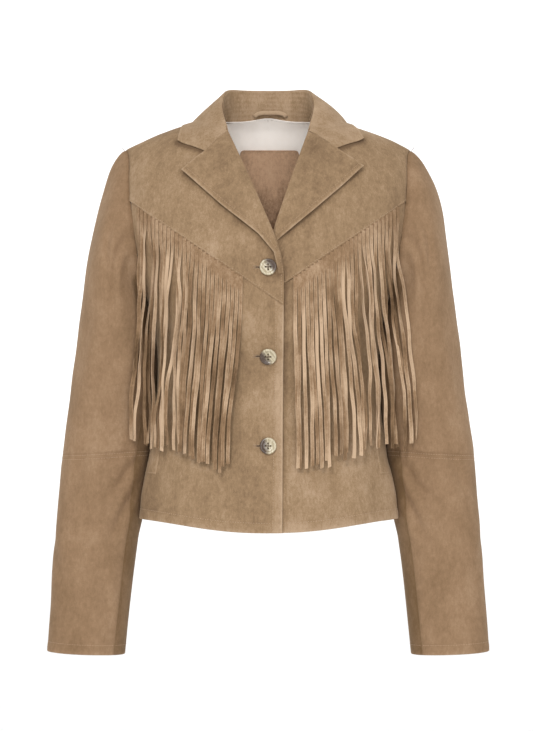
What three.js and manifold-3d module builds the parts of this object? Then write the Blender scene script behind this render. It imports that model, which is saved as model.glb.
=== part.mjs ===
// A cropped suede blazer with a notched collar, a pointed front yoke and a long fringe hung from the yoke
// seam, filled out as if worn, with nobody in it. Every piece that a maker cuts and sews on is a wall of its
// own: yokes, fronts, backs, two-piece sleeves with an elbow seam, lapels, collar stand and collar, fringes,
// pocket welts, buttons, back lining, inner patch and hanger loop.
// Millimetres, +Z up, the front towards -Y, the wearer's right towards -X. The origin is the middle of the
// neck at the height of the side neck points, where the wearer's neck and shoulders carry the blazer.
import * as THREE from "three";
import { mergeVertices } from "three/addons/utils/BufferGeometryUtils.js";
import Module from "manifold-3d";

const wasm = await Module();
wasm.setup();

// ---------------------------------------------------------------- driving sizes
const SUEDE = 1.6; // wall of the suede with its fused backing
const DOUBLE_SUEDE = 2.2; // two layers, as in a lapel or a collar
const SEAM = 0.4; // the parting between two pieces at a seam
const LIFT = 0.5; // the parting between a piece and what it lies on
const CHEST_Z = -235; // height of the chest ring, where the armholes start
const SHOULDER_Y = 5; // the shoulder seam runs a little behind the neck's middle
const NECK_HALF = 66; // half of the distance between the side neck points
const SHOULDER_TIP = 187; // half of the shoulder breadth, seam to seam
const SHOULDER_DROP = 41; // fall of the shoulder from the neck to the tip
const NAPE_RISE = 33; // how much higher the back's arch runs at the nape
const NAPE_HEIGHT = 0.687; // how far up the back's arch the nape seam lies
const ROUND = 2.3; // exponent of the body's rounded cross-section
const FRONT_ARCH = 2.0; // exponents of the arches over chest and shoulder blades
const BACK_ARCH = 2.4;
const HEM_Z = -513.5; // side of the hem
const HEM_DIP = { front: 13, back: 4 }; // how much lower the hem runs at the middle
const LAP = 22.5; // each front reaches this far past the centre line
const LAP_LIFT = 3.3; // the over front lies this far out on the under front
const CUFF_Z = -684;
const CUFF_TILT = 4; // the cuff's inner side hangs this much lower
const SLEEVE_TOP_Z = -250; // where the shaped sleeve head becomes a plain tube
const YOKE = { atCentre: -228, rise: 0.685 }; // height of the yoke seam and its rise per millimetre outwards
const BUTTON = { radius: 11, thick: 3.6, heights: [-194, -306, -418] };

// The body's half breadth and its depths to front and back, from hem to shoulder.
const BODY = [
  { z: -513.5, half: 164.5, front: 119, back: 112 },
  { z: -465, half: 159, front: 112, back: 103 },
  { z: -420, half: 151.5, front: 107, back: 94 },
  { z: -375, half: 145, front: 104, back: 88 },
  { z: -325, half: 142, front: 108, back: 89 },
  { z: -280, half: 145, front: 121, back: 99 },
  { z: -235, half: 156, front: 128, back: 108 },
  { z: -180, half: 174, front: 128, back: 108 },
  { z: -130, half: 184, front: 128, back: 108 },
  { z: -85, half: 189, front: 128, back: 108 },
  { z: -39, half: 187, front: 128, back: 108 },
];

// The sleeve's rings below its head: place of the middle and half breadths across and fore-and-aft.
const SLEEVE = [
  { z: -688, x: 235, y: -24, across: 50.5, along: 36 },
  { z: -621, x: 229.5, y: -18, across: 51.5, along: 38 },
  { z: -569, x: 225, y: -13, across: 53, along: 40 },
  { z: -515, x: 219.6, y: -8, across: 54.5, along: 43 },
  { z: -470, x: 215.6, y: -4, across: 55, along: 45 },
  { z: -424, x: 210, y: 0, across: 56, along: 47 },
  { z: -361, x: 202.2, y: 3, across: 56.1, along: 51 },
  { z: -300, x: 197.8, y: 4, across: 52.7, along: 56 },
  { z: -250, x: 199, y: 4, across: 44.8, along: 60 },
];

// The armhole, as the part of the body's side that front and back leave open: the widest bite in degrees of
// the ring, and how far up the arch it lies.
const ARMHOLE = {
  front: { bite: 21, widest: 0.36 },
  back: { bite: 21, widest: 0.4 },
};

// Inner edge of each front, from the yoke seam up to the side neck point: x is measured from the centre
// line towards the front's own side. The edge runs up the buttoned lap and then along the lapel's roll.
const FRONT_EDGE = {
  right: [
    { z: -197, x: -LAP },
    { z: -184, x: -19.5 },
    { z: -168, x: -14 },
    { z: -148, x: -6 },
    { z: -97, x: 14 },
    { z: -47, x: 34 },
    { z: -18, x: 45 },
  ],
  left: [
    { z: -215, x: -LAP },
    { z: -196, x: -14 },
    { z: -168, x: -1 },
    { z: -148, x: 6 },
    { z: -97, x: 23 },
    { z: -47, x: 40 },
    { z: -18, x: 49.5 },
  ],
};

// Corners of lapel and collar as seen from the front: where the gorge leaves the roll, the notch, the tips.
const LAPEL = {
  right: {
    roll: [{ x: 45, z: -18 }, { x: 14, z: -97 }, { x: -6, z: -148 }, { x: -17.5, z: -179 }, { x: -21.8, z: -198 }],
    edge: [{ x: 108, z: -71 }, { x: 57, z: -114 }, { x: 4, z: -155 }, { x: -12, z: -174 }, { x: -18.5, z: -197 }],
    notch: { x: 79, z: -45 },
    tip: { x: 115, z: -31 },
  },
  left: {
    roll: [{ x: 49.5, z: -18 }, { x: 32, z: -70 }, { x: 20, z: -106 }, { x: 9, z: -139 }, { x: 11, z: -152.5 }],
    edge: [{ x: 119, z: -66 }, { x: 90, z: -93 }, { x: 57, z: -122 }, { x: 26, z: -148 }, { x: 14.5, z: -158 }],
    notch: { x: 86, z: -41 },
    tip: { x: 122, z: -28 },
  },
};

// The collar's roll and its free edge over one half of the neck, from the nape to the shoulder.
const COLLAR_ROLL = [
  { x: 0, y: 57, z: 47 },
  { x: 29, y: 54, z: 47 },
  { x: 51, y: 36, z: 45.5 },
  { x: 58.5, y: 10, z: 37 },
  { x: 59, y: -14, z: 19 },
];
const COLLAR_EDGE = [
  { x: 0, y: 82, z: -13 },
  { x: 44, y: 77, z: -14 },
  { x: 86, y: 55, z: -15 },
  { x: 108, y: 22, z: -9 },
  { x: 115, y: -12, z: -12 },
];

// The largest soft folds: where each lies on its piece, how far it runs, how wide and how deep it is.
// On a sleeve, around is in degrees from the outside towards the front, and down is a height.
const SLEEVE_FOLDS = [
  { around: 118, z: -470, slant: 34, length: 62, width: 8, depth: 2.6 },
  { around: 60, z: -446, slant: 18, length: 46, width: 7, depth: 1.6 },
  { around: -100, z: -452, slant: -30, length: 58, width: 8, depth: 2.4 },
  { around: 96, z: -214, slant: 60, length: 70, width: 8, depth: 2.2 },
  { around: -86, z: -206, slant: -62, length: 74, width: 9, depth: 2.4 },
  { around: 20, z: -560, slant: -40, length: 60, width: 10, depth: 1.2 },
];
// On the body, x is the distance from the centre line along the front or the back.
const BODY_FOLDS = [
  { face: "front", x: 118, z: -385, slant: 14, length: 80, width: 20, depth: 2.4 },
  { face: "front", x: 92, z: -478, slant: -30, length: 60, width: 20, depth: 1.8 },
  { face: "back", x: 104, z: -352, slant: 24, length: 90, width: 22, depth: 3.0 },
  { face: "back", x: 50, z: -392, slant: 8, length: 70, width: 22, depth: 2.0 },
  { face: "back", x: 118, z: -180, slant: -38, length: 70, width: 22, depth: 2.4 },
];

const FRINGE = {
  strands: 28,
  from: 34, // the first strand's distance from the centre line
  to: 164, // the last one's
  header: 9, // the uncut strip below the seam
  width: 3.6,
  lift: 2.4, // how far the header lies off the cloth
  thick: 1.2,
  clear: 2.2, // how far the strands hang off the cloth
  lean: 8, // how far the tips have drifted outwards
  steps: 5,
  tips: { inner: -449, outer: -428 },
};

// ---------------------------------------------------------------- small tools
const rad = THREE.MathUtils.degToRad;
const lerp = THREE.MathUtils.lerp;
const clamp = THREE.MathUtils.clamp;
const smooth = (t) => THREE.MathUtils.smoothstep(t, 0, 1);
const point = (x, y, z) => new THREE.Vector3(x, y, z);

// A column of a table, read smoothly at any place along the table's key.
function read(rows, key, at, column) {
  const sorted = rows[0][key] < rows[rows.length - 1][key] ? rows : [...rows].reverse();
  const last = sorted.length - 1;
  const place = clamp(at, sorted[0][key], sorted[last][key]);
  let i = 0;
  while (i < last - 1 && place > sorted[i + 1][key]) i += 1;
  const row = (k) => sorted[clamp(k, 0, last)];
  const slope = (k) => {
    const before = row(k - 1);
    const after = row(k + 1);
    return (after[column] - before[column]) / (after[key] - before[key]);
  };
  const step = row(i + 1)[key] - row(i)[key];
  const t = (place - row(i)[key]) / step;
  const a = row(i)[column];
  const b = row(i + 1)[column];
  return (
    (2 * t ** 3 - 3 * t ** 2 + 1) * a +
    (t ** 3 - 2 * t ** 2 + t) * step * slope(i) +
    (3 * t ** 2 - 2 * t ** 3) * b +
    (t ** 3 - t ** 2) * step * slope(i + 1)
  );
}

// A place on a line of points, at a share of its length.
function along(points, share) {
  const lengths = points.slice(1).map((p, i) => p.distanceTo(points[i]));
  let left = clamp(share, 0, 1) * lengths.reduce((sum, d) => sum + d, 0);
  let i = 0;
  while (i < lengths.length - 1 && left > lengths[i]) {
    left -= lengths[i];
    i += 1;
  }
  return points[i].clone().lerp(points[i + 1], clamp(left / lengths[i], 0, 1));
}

// A soft trough across a surface: how deep it is at a place that lies (across, up) from the fold's middle.
function trough(fold, across, up) {
  const turn = rad(fold.slant);
  const off = across * Math.cos(turn) - up * Math.sin(turn);
  const run = across * Math.sin(turn) + up * Math.cos(turn);
  const fade = Math.max(0, 1 - (run / fold.length) ** 2) ** 2;
  return fold.depth * fade * Math.exp(-((off / fold.width) ** 2));
}

// A closed solid from a list of points and triangles.
function meshOf(name, positions, indices, material) {
  const geometry = new THREE.BufferGeometry();
  geometry.setAttribute("position", new THREE.Float32BufferAttribute(positions, 3));
  geometry.setIndex(indices);
  geometry.computeVertexNormals();
  const mesh = new THREE.Mesh(geometry, material);
  mesh.name = name;
  return mesh;
}

// Outward direction of a surface at (a, b), both from 0 to 1.
function outwardOf(surface, a, b, side) {
  const step = 2e-3;
  const a0 = Math.max(0, a - step);
  const a1 = Math.min(1, a + step);
  const b0 = Math.max(0, b - step);
  const b1 = Math.min(1, b + step);
  const da = surface(a1, b).sub(surface(a0, b));
  const db = surface(a, b1).sub(surface(a, b0));
  return da.cross(db).normalize().multiplyScalar(side);
}

// Which way the cross product of a surface's two directions points: 1 away from its inside, -1 towards it.
function sideOf(surface, inside) {
  const middle = surface(0.5, 0.5);
  return outwardOf(surface, 0.5, 0.5, 1).dot(middle.sub(inside)) > 0 ? 1 : -1;
}

// A wall of cloth: the surface's points moved out by outer and by inner, joined round the edge.
function wallArrays(surface, inside, counts, outer, inner) {
  const [nA, nB] = counts;
  const side = sideOf(surface, inside);
  const positions = [];
  for (const offset of [outer, inner])
    for (let j = 0; j <= nB; j += 1)
      for (let i = 0; i <= nA; i += 1) {
        const a = i / nA;
        const b = j / nB;
        const move = typeof offset === "function" ? offset(a, b) : offset;
        const p = surface(a, b).addScaledVector(outwardOf(surface, a, b, side), move);
        positions.push(p.x, p.y, p.z);
      }
  const at = (layer, i, j) => layer * (nA + 1) * (nB + 1) + j * (nA + 1) + i;
  const indices = [];
  const quad = (p, q, r, s) => indices.push(...(side > 0 ? [p, q, r, p, r, s] : [p, r, q, p, s, r]));
  for (let j = 0; j < nB; j += 1)
    for (let i = 0; i < nA; i += 1) {
      quad(at(0, i, j), at(0, i + 1, j), at(0, i + 1, j + 1), at(0, i, j + 1));
      quad(at(1, i, j), at(1, i, j + 1), at(1, i + 1, j + 1), at(1, i + 1, j));
    }
  for (let i = 0; i < nA; i += 1) {
    quad(at(1, i, 0), at(1, i + 1, 0), at(0, i + 1, 0), at(0, i, 0));
    quad(at(0, i, nB), at(0, i + 1, nB), at(1, i + 1, nB), at(1, i, nB));
  }
  for (let j = 0; j < nB; j += 1) {
    quad(at(0, 0, j), at(0, 0, j + 1), at(1, 0, j + 1), at(1, 0, j));
    quad(at(1, nA, j), at(1, nA, j + 1), at(0, nA, j + 1), at(0, nA, j));
  }
  return { positions, indices };
}

function wall(name, surface, inside, counts, outer, inner, material) {
  const { positions, indices } = wallArrays(surface, inside, counts, outer, inner);
  return meshOf(name, positions, indices, material);
}

// The same surface with a strip taken off each edge, so that two pieces stand a seam apart.
function trimmed(surface, cut) {
  const span = (from, to) => {
    let length = 0;
    let before = surface(...from(0));
    for (let k = 1; k <= 6; k += 1) {
      const next = surface(...from(k / 6));
      length += next.distanceTo(before);
      before = next;
    }
    return Math.max(length, to);
  };
  return (a, b) => {
    const wide = span((t) => [t, b], 1);
    const tall = span((t) => [a, t], 1);
    const a1 = lerp(Math.min(0.4, cut.a0 / wide), 1 - Math.min(0.4, cut.a1 / wide), a);
    const atTop = typeof cut.b1 === "function" ? cut.b1(a) : cut.b1;
    const b1 = lerp(Math.min(0.4, cut.b0 / tall), 1 - Math.min(0.4, atTop / tall), b);
    return surface(a1, b1);
  };
}

const allRound = { a0: SEAM / 2, a1: SEAM / 2, b0: SEAM / 2, b1: SEAM / 2 };
// Front and back part a little more where their walls meet at an acute angle, at the shoulder's tip.
const atShoulder = { ...allRound, b1: (a) => SEAM / 2 + 2 * smooth((a - 0.85) / 0.15) };

// A strap with a rectangular section along a line of points; its width lies across, the same all along.
function strapArrays(path, across, width, thick) {
  const positions = [];
  path.forEach((p, i) => {
    const before = path[Math.max(0, i - 1)];
    const after = path[Math.min(path.length - 1, i + 1)];
    const run = after.clone().sub(before).normalize();
    const deep = run.clone().cross(across).normalize().multiplyScalar(thick / 2);
    const wide = across.clone().multiplyScalar(width / 2);
    for (const [w, d] of [[-1, -1], [1, -1], [1, 1], [-1, 1]]) {
      const q = p.clone().addScaledVector(wide, w).addScaledVector(deep, d);
      positions.push(q.x, q.y, q.z);
    }
  });
  const indices = [0, 2, 1, 0, 3, 2];
  const end = (path.length - 1) * 4;
  indices.push(end, end + 1, end + 2, end, end + 2, end + 3);
  for (let i = 0; i < path.length - 1; i += 1)
    for (let k = 0; k < 4; k += 1) {
      const p = i * 4 + k;
      const q = i * 4 + ((k + 1) % 4);
      indices.push(p, q, q + 4, p, q + 4, p + 4);
    }
  return { positions, indices };
}

function solidOf(positions, indices) {
  const geometry = new THREE.BufferGeometry();
  geometry.setAttribute("position", new THREE.Float32BufferAttribute(positions, 3));
  geometry.setIndex(indices);
  return solidOfGeometry(geometry);
}

function solidOfGeometry(geometry) {
  geometry.deleteAttribute("normal");
  geometry.deleteAttribute("uv");
  const merged = mergeVertices(geometry, 1e-4);
  return new wasm.Manifold(
    new wasm.Mesh({
      numProp: 3,
      vertProperties: merged.attributes.position.array,
      triVerts: new Uint32Array(merged.index.array),
    }),
  );
}

function meshOfSolid(name, solid, material) {
  const { vertProperties, triVerts } = solid.getMesh();
  return meshOf(name, Array.from(vertProperties), Array.from(triVerts), material);
}

// ---------------------------------------------------------------- materials
function suedeMaterial(hex) {
  return new THREE.MeshStandardMaterial({ color: hex, roughness: 0.95, metalness: 0 });
}
const suede = suedeMaterial(0xa68867);
const fringeSuede = suedeMaterial(0xab8c6a);
const liningCloth = new THREE.MeshStandardMaterial({ color: 0xe2dacf, roughness: 0.6, metalness: 0 });
const horn = new THREE.MeshStandardMaterial({ color: 0xcbbfa0, roughness: 0.3, metalness: 0 });

// ---------------------------------------------------------------- the body's form
// Height of the shoulder seam above the origin, at a distance from the centre line.
function shoulderHeight(x) {
  const share = Math.max(0, Math.abs(x) - 45) / (SHOULDER_TIP - 45);
  return 4 - SHOULDER_DROP * share ** 1.85;
}

// Top of the arch that a face of the body makes over the shoulder.
function archTop(face, x) {
  const rise = face === "back" ? NAPE_RISE * (1 - smooth(Math.abs(x) / NECK_HALF)) : 0;
  return shoulderHeight(x) + rise;
}

function foldDepth(face, x, z, deep) {
  const own = BODY_FOLDS.filter((f) => f.face === face);
  return Math.min(1, 1.6 * deep) * own.reduce((sum, f) => sum + trough(f, x - f.x, z - f.z), 0);
}

// A point of the body. The angle runs round the ring from 0 at the middle of the face to 90 at the side, on
// the piece's own side; height runs from -1 at the hem over 0 at the chest to 1 at the shoulder seam.
function bodyPoint(face, angle, height) {
  const turn = rad(angle);
  const across = Math.sign(angle) * Math.abs(Math.sin(turn)) ** (2 / ROUND);
  const deep = Math.max(0, Math.cos(turn)) ** (2 / ROUND);
  const front = face === "front" ? -1 : 1;
  if (height <= 0) {
    const hem = HEM_Z - HEM_DIP[face] * Math.cos(turn) ** 4;
    const z = lerp(CHEST_Z, hem, -height);
    const row = Math.max(z, HEM_Z);
    const x = read(BODY, "z", row, "half") * across;
    const y = read(BODY, "z", row, face) * deep - foldDepth(face, Math.abs(x), z, deep);
    return point(x, front * y, z);
  }
  const arch = face === "front" ? FRONT_ARCH : BACK_ARCH;
  const up = Math.sin((Math.PI / 2) * height) ** (2 / arch);
  const out = Math.max(0, Math.cos((Math.PI / 2) * height)) ** (2 / arch);
  let z = lerp(CHEST_Z, archTop(face, 100), up);
  let x = 0;
  for (let k = 0; k < 4; k += 1) {
    x = read(BODY, "z", z, "half") * across;
    z = lerp(CHEST_Z, archTop(face, x), up);
  }
  const depth = read(BODY, "z", CHEST_Z, face) * deep - foldDepth(face, Math.abs(x), z, deep);
  return point(x, front * depth * out + SHOULDER_Y * (1 - out), z);
}

// The ring angle and height of the point of the face that is seen at x and z.
function placeAt(face, x, z) {
  const half = read(BODY, "z", Math.max(z, HEM_Z), "half");
  const share = clamp(Math.abs(x) / half, 0, 1) ** (ROUND / 2);
  const angle = (Math.sign(x) * Math.asin(share) * 180) / Math.PI;
  if (z <= CHEST_Z) {
    const hem = HEM_Z - HEM_DIP[face] * Math.cos(rad(angle)) ** 4;
    return { angle, height: -(CHEST_Z - z) / (CHEST_Z - hem) };
  }
  const arch = face === "front" ? FRONT_ARCH : BACK_ARCH;
  const up = clamp((z - CHEST_Z) / (archTop(face, x) - CHEST_Z), 0, 1);
  return { angle, height: (2 / Math.PI) * Math.asin(up ** (arch / 2)) };
}

// How far a point lies outside the body, measured along the line from the body's middle, and the same
// point moved out until it clears the body by gap.
function clearOfBody(p, gap) {
  const face = p.y < SHOULDER_Y ? "front" : "back";
  const half = read(BODY, "z", Math.max(p.z, HEM_Z), "half");
  const share = clamp(Math.abs(p.x) / half, 0, 0.999) ** (ROUND / 2);
  const deep = Math.cos(Math.asin(share)) ** (2 / ROUND);
  const depth = read(BODY, "z", CHEST_Z, face) * deep + (face === "front" ? SHOULDER_Y : -SHOULDER_Y);
  const arch = face === "front" ? FRONT_ARCH : BACK_ARCH;
  const y = p.y - SHOULDER_Y;
  const z = p.z - CHEST_Z;
  const top = archTop(face, p.x) - CHEST_Z;
  const reach = ((Math.abs(y) / depth) ** arch + (Math.max(0, z) / top) ** arch) ** (1 / arch);
  const far = Math.hypot(y, z);
  const wanted = far / reach + gap;
  if (far >= wanted) return p.clone();
  const scale = wanted / far;
  return point(p.x, SHOULDER_Y + y * scale, CHEST_Z + z * scale);
}

// The armhole's edge at a height: how far round the ring the face reaches.
function armholeAngle(face, height) {
  const { bite, widest } = ARMHOLE[face];
  if (height <= 0) return 90;
  const share = height < widest ? (widest - height) / widest : (height - widest) / (1 - widest);
  return 90 - bite * Math.sqrt(Math.max(0, 1 - share ** 2));
}

// The seam line of the pointed yoke: its height at a distance from the centre line.
function yokeHeight(x) {
  return YOKE.atCentre + YOKE.rise * x;
}

// A point of a front, given on the centre line's own-side coordinates, and mirrored for the wearer's right.
const SIDES = { right: -1, left: 1 };
function onSide(p, side) {
  return point(p.x * SIDES[side], p.y, p.z);
}

// The under front lies on the body's form; the over front lies out on it near the centre.
function lapLift(side, x) {
  return side === "right" ? LAP_LIFT * (1 - smooth((x - 24) / 46)) : 0;
}

// The outline of a face piece is drawn on (angle, height); a patch fills it smoothly between four edges.
function patch(bottom, top, left, right) {
  return (a, b) => {
    const mix = (key) =>
      (1 - b) * bottom(a)[key] +
      b * top(a)[key] +
      (1 - a) * left(b)[key] +
      a * right(b)[key] -
      (1 - a) * (1 - b) * bottom(0)[key] -
      a * (1 - b) * bottom(1)[key] -
      (1 - a) * b * top(0)[key] -
      a * b * top(1)[key];
    return { angle: mix("angle"), height: mix("height") };
  };
}

// Where the yoke seam meets the armhole: its widest place.
const YOKE_END = {
  angle: 90 - ARMHOLE.front.bite,
  height: ARMHOLE.front.widest,
};
const SEAM_STEPS = 10; // both pieces step alike along their common seam
const SIDE_STEPS = 10;

// The yoke seam from the front edge to the armhole.
function yokeSeam(a) {
  const start = placeAt("front", -LAP, yokeHeight(-LAP));
  const angle = lerp(start.angle, YOKE_END.angle, a);
  const share = Math.sin(rad(angle));
  let x = 175 * Math.sign(share) * Math.abs(share) ** (2 / ROUND);
  x = read(BODY, "z", yokeHeight(x), "half") * Math.sign(share) * Math.abs(share) ** (2 / ROUND);
  const straight = placeAt("front", x, yokeHeight(x));
  const height = lerp(straight.height, YOKE_END.height, smooth((a - 0.75) / 0.25));
  return { angle, height };
}

// ---------------------------------------------------------------- fronts and yokes
const bodyMiddle = point(0, 0, -200);

function frontYokePlaces(side) {
  const edge = FRONT_EDGE[side];
  const first = { x: -LAP, z: yokeHeight(-LAP) };
  const line = [first, ...edge].map((p) => point(p.x, 0, p.z));
  const top = placeAt("front", NECK_HALF, 200);
  const neck = placeAt("front", edge[edge.length - 1].x, edge[edge.length - 1].z);
  const NECK_SHARE = 0.88; // the share of the inner edge below the gorge
  const left = (b) => {
    if (b <= NECK_SHARE) {
      const p = along(line, b / NECK_SHARE);
      return placeAt("front", p.x, p.z);
    }
    const t = (b - NECK_SHARE) / (1 - NECK_SHARE);
    return { angle: lerp(neck.angle, top.angle, t), height: lerp(neck.height, 1, smooth(t * 0.5 + 0.5) * 2 - 1) };
  };
  const right = (b) => {
    const height = lerp(YOKE_END.height, 1, b);
    return { angle: armholeAngle("front", height), height };
  };
  const shoulder = (a) => ({ angle: lerp(top.angle, 90, a), height: 1 });
  return patch(yokeSeam, shoulder, left, right);
}

function frontLowerPlaces() {
  const SEAM_SHARE = SEAM_STEPS / (SEAM_STEPS + 4); // the share of the upper edge that is the yoke seam
  const edgeAt = (z) => placeAt("front", -LAP, z);
  const top = (a) => {
    if (a <= SEAM_SHARE) return yokeSeam(a / SEAM_SHARE);
    const t = (a - SEAM_SHARE) / (1 - SEAM_SHARE);
    const height = YOKE_END.height * (1 - Math.sin((Math.PI / 2) * t));
    const share = 1 - height / YOKE_END.height;
    return { angle: 90 - ARMHOLE.front.bite * Math.sqrt(Math.max(0, 1 - share ** 2)), height };
  };
  const hemStart = edgeAt(HEM_Z - HEM_DIP.front).angle;
  const bottom = (a) => ({ angle: lerp(hemStart, 90, a), height: -1 });
  const left = (b) => edgeAt(lerp(HEM_Z - HEM_DIP.front, yokeHeight(-LAP), b));
  const right = (b) => ({ angle: 90, height: lerp(-1, 0, b) });
  return patch(bottom, top, left, right);
}

function faceSurface(face, places, side) {
  return (a, b) => {
    const { angle, height } = places(clamp(a, 0, 1), clamp(b, 0, 1));
    const p = bodyPoint(face, angle, height);
    return onSide(p, side);
  };
}

function frontPiece(name, places, side, counts, cut) {
  const surface = trimmed(faceSurface("front", places, side), cut);
  const lift = (a, b) => lapLift(side, surface(a, b).x * SIDES[side]);
  return wall(name, surface, bodyMiddle, counts, lift, (a, b) => lift(a, b) - SUEDE, suede);
}

// ---------------------------------------------------------------- backs, lining and inner patch
// How high the back reaches at a ring angle: the neckline near the middle, the shoulder seam beyond.
function backTop(angle) {
  const x = SHOULDER_TIP * Math.sin(rad(Math.abs(angle))) ** (2 / ROUND);
  return lerp(NAPE_HEIGHT, 1, Math.min(1, x / NECK_HALF) ** 2.2);
}

function backPlaces(a, b) {
  const nominal = 2 * b - 1;
  const angle = a * armholeAngle("back", nominal);
  return { angle, height: -1 + b * (1 + backTop(angle)) };
}

function backPiece(name, side) {
  const surface = trimmed(faceSurface("back", backPlaces, side), atShoulder);
  return wall(name, surface, bodyMiddle, [11, 2 * SIDE_STEPS], 0, -SUEDE, suede);
}

function backLining() {
  const LINING = { thick: 1.0, under: 5.2, inset: 6, hemGap: 26 };
  const whole = (a, b) => {
    const { angle, height } = backPlaces(Math.abs(2 * a - 1), b);
    return onSide(bodyPoint("back", angle, height), a < 0.5 ? "right" : "left");
  };
  const cut = { a0: LINING.inset, a1: LINING.inset, b0: LINING.hemGap, b1: 3 };
  const outer = -SUEDE - LINING.under;
  const surface = trimmed(whole, cut);
  return wall("back_lining", surface, bodyMiddle, [18, 16], outer, outer - LINING.thick, liningCloth);
}

function innerPatch() {
  const PATCH = { half: 38, top: -30, bottom: -168, thick: 1.3, corner: 5 };
  const surface = (a, b) => {
    const z = lerp(PATCH.bottom, PATCH.top, b);
    const fromEnd = Math.min(z - PATCH.bottom, PATCH.top - z, PATCH.corner);
    const round = PATCH.corner - Math.sqrt(Math.max(0, PATCH.corner ** 2 - (PATCH.corner - fromEnd) ** 2));
    const x = lerp(-1, 1, a) * (PATCH.half - round);
    const { angle, height } = placeAt("back", x, z);
    return bodyPoint("back", angle, height);
  };
  const outer = -SUEDE - 8.2;
  return wall("inner_patch", surface, bodyMiddle, [6, 10], outer, outer - PATCH.thick, suede);
}

// ---------------------------------------------------------------- sleeves
// A point of the armhole's edge on the wearer's left, at an angle round the sleeve: 0 at the shoulder tip,
// 90 at the front, 180 at the underarm and 270 at the back.
function armholeEdge(around) {
  const turn = ((around % 360) + 360) % 360;
  const face = turn <= 180 ? "front" : "back";
  const down = (turn <= 180 ? turn : 360 - turn) / 180;
  const line = armholeEdge.lines[face];
  return along(line, down);
}
armholeEdge.lines = Object.fromEntries(
  ["front", "back"].map((face) => {
    const STEPS = 60;
    const { widest } = ARMHOLE[face];
    const heights = [];
    for (let k = 0; k <= STEPS; k += 1) {
      const t = k / STEPS;
      const eased = Math.sin((Math.PI / 2) * Math.min(1, 2 * t));
      if (t <= 0.5) heights.push(1 - (1 - widest) * (1 - Math.cos((Math.PI / 2) * 2 * t)));
      else heights.push(widest * (1 - Math.sin((Math.PI / 2) * (2 * t - 1))) * (eased >= 0 ? 1 : 1));
    }
    return [face, heights.map((h) => bodyPoint(face, armholeAngle(face, h), Math.max(0, h)))];
  }),
);

function sleeveFold(around, z) {
  return SLEEVE_FOLDS.reduce((sum, f) => {
    const turn = ((around - f.around + 540) % 360) - 180;
    return sum + trough(f, rad(turn) * 50, z - f.z);
  }, 0);
}

function sleeveRing(around, z) {
  const turn = rad(around);
  const row = (column) => read(SLEEVE, "z", z, column);
  const round = 2.15;
  const shape = (c) => Math.sign(c) * Math.abs(c) ** (2 / round);
  const fold = z < SLEEVE_TOP_Z ? sleeveFold(around, z) : 0;
  const x = row("x") + (row("across") - fold) * shape(Math.cos(turn));
  const y = row("y") - (row("along") - fold) * shape(Math.sin(turn));
  return point(x, y, z);
}

// The sleeve of the wearer's left: down runs from 0 at the armhole over 1 at the top ring to 2 at the cuff.
function sleevePoint(around, down) {
  if (down >= 1) {
    const cuff = CUFF_Z - (CUFF_TILT * (1 - Math.cos(rad(around)))) / 2;
    return sleeveRing(around, lerp(SLEEVE_TOP_Z, cuff, down - 1));
  }
  const start = armholeEdge(around);
  const end = sleeveRing(around, SLEEVE_TOP_Z);
  const chord = start.distanceTo(end);
  const turn = rad(around);
  const top = Math.max(0, Math.cos(turn));
  const away = point(1, -0.12 * Math.sin(turn), -0.75 * top - 0.1 * (1 - top)).normalize();
  const below = sleeveRing(around, SLEEVE_TOP_Z - 8).sub(end).normalize();
  const t = down;
  const p = start.clone().multiplyScalar(2 * t ** 3 - 3 * t ** 2 + 1);
  p.addScaledVector(away, (t ** 3 - 2 * t ** 2 + t) * chord * lerp(0.95, 0.65, top));
  p.addScaledVector(end, 3 * t ** 2 - 2 * t ** 3);
  p.addScaledVector(below, (t ** 3 - t ** 2) * chord * lerp(1, 0.85, top));
  return p;
}

function elbowDown(around) {
  const z = -427 - 4 * Math.cos(rad(around));
  return 1 + (SLEEVE_TOP_Z - z) / (SLEEVE_TOP_Z - CUFF_Z);
}

const FRONT_SEAM = 136; // where round the sleeve its front and back seams run
const HIND_SEAM = 240;

// The head of each sleeve piece starts a seam's width off the armhole, moved out along the arm.
function sleevePiece(name, side, range, upper, counts) {
  const whole = (a, b) => {
    const around = a < 0.5 ? lerp(range[0], range[1], 2 * a) : lerp(range[1], range[2], 2 * a - 1);
    const bend = elbowDown(around);
    const down = upper ? lerp(bend, 0, b) : lerp(2, bend, b);
    const p = sleevePoint(around, down);
    p.x += upper ? SEAM * (1 - smooth(down)) : 0;
    return onSide(p, side);
  };
  const cut = { a0: SEAM / 2, a1: SEAM / 2, b0: upper ? SEAM / 2 : 0, b1: upper ? 0 : SEAM / 2 };
  const surface = trimmed(whole, cut);
  const middle = onSide(point(208, 0, upper ? -330 : -560), side);
  return wall(name, surface, middle, counts, 0, -SUEDE, suede);
}

// ---------------------------------------------------------------- lapels, stand and collar
// A place seen at (x, z) on a front, moved out by lift from the front's outer face.
function onFront(side, x, z, lift) {
  const { angle, height } = placeAt("front", x, z);
  const step = 0.4;
  const middle = bodyPoint("front", angle, height);
  const beside = bodyPoint("front", angle + step, height);
  const above = bodyPoint("front", angle, Math.min(1, height + step / 100));
  const out = beside.sub(middle).cross(above.sub(middle)).normalize();
  if (out.y > 0) out.negate();
  middle.addScaledVector(out, lift + lapLift(side, x));
  return middle;
}

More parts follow.
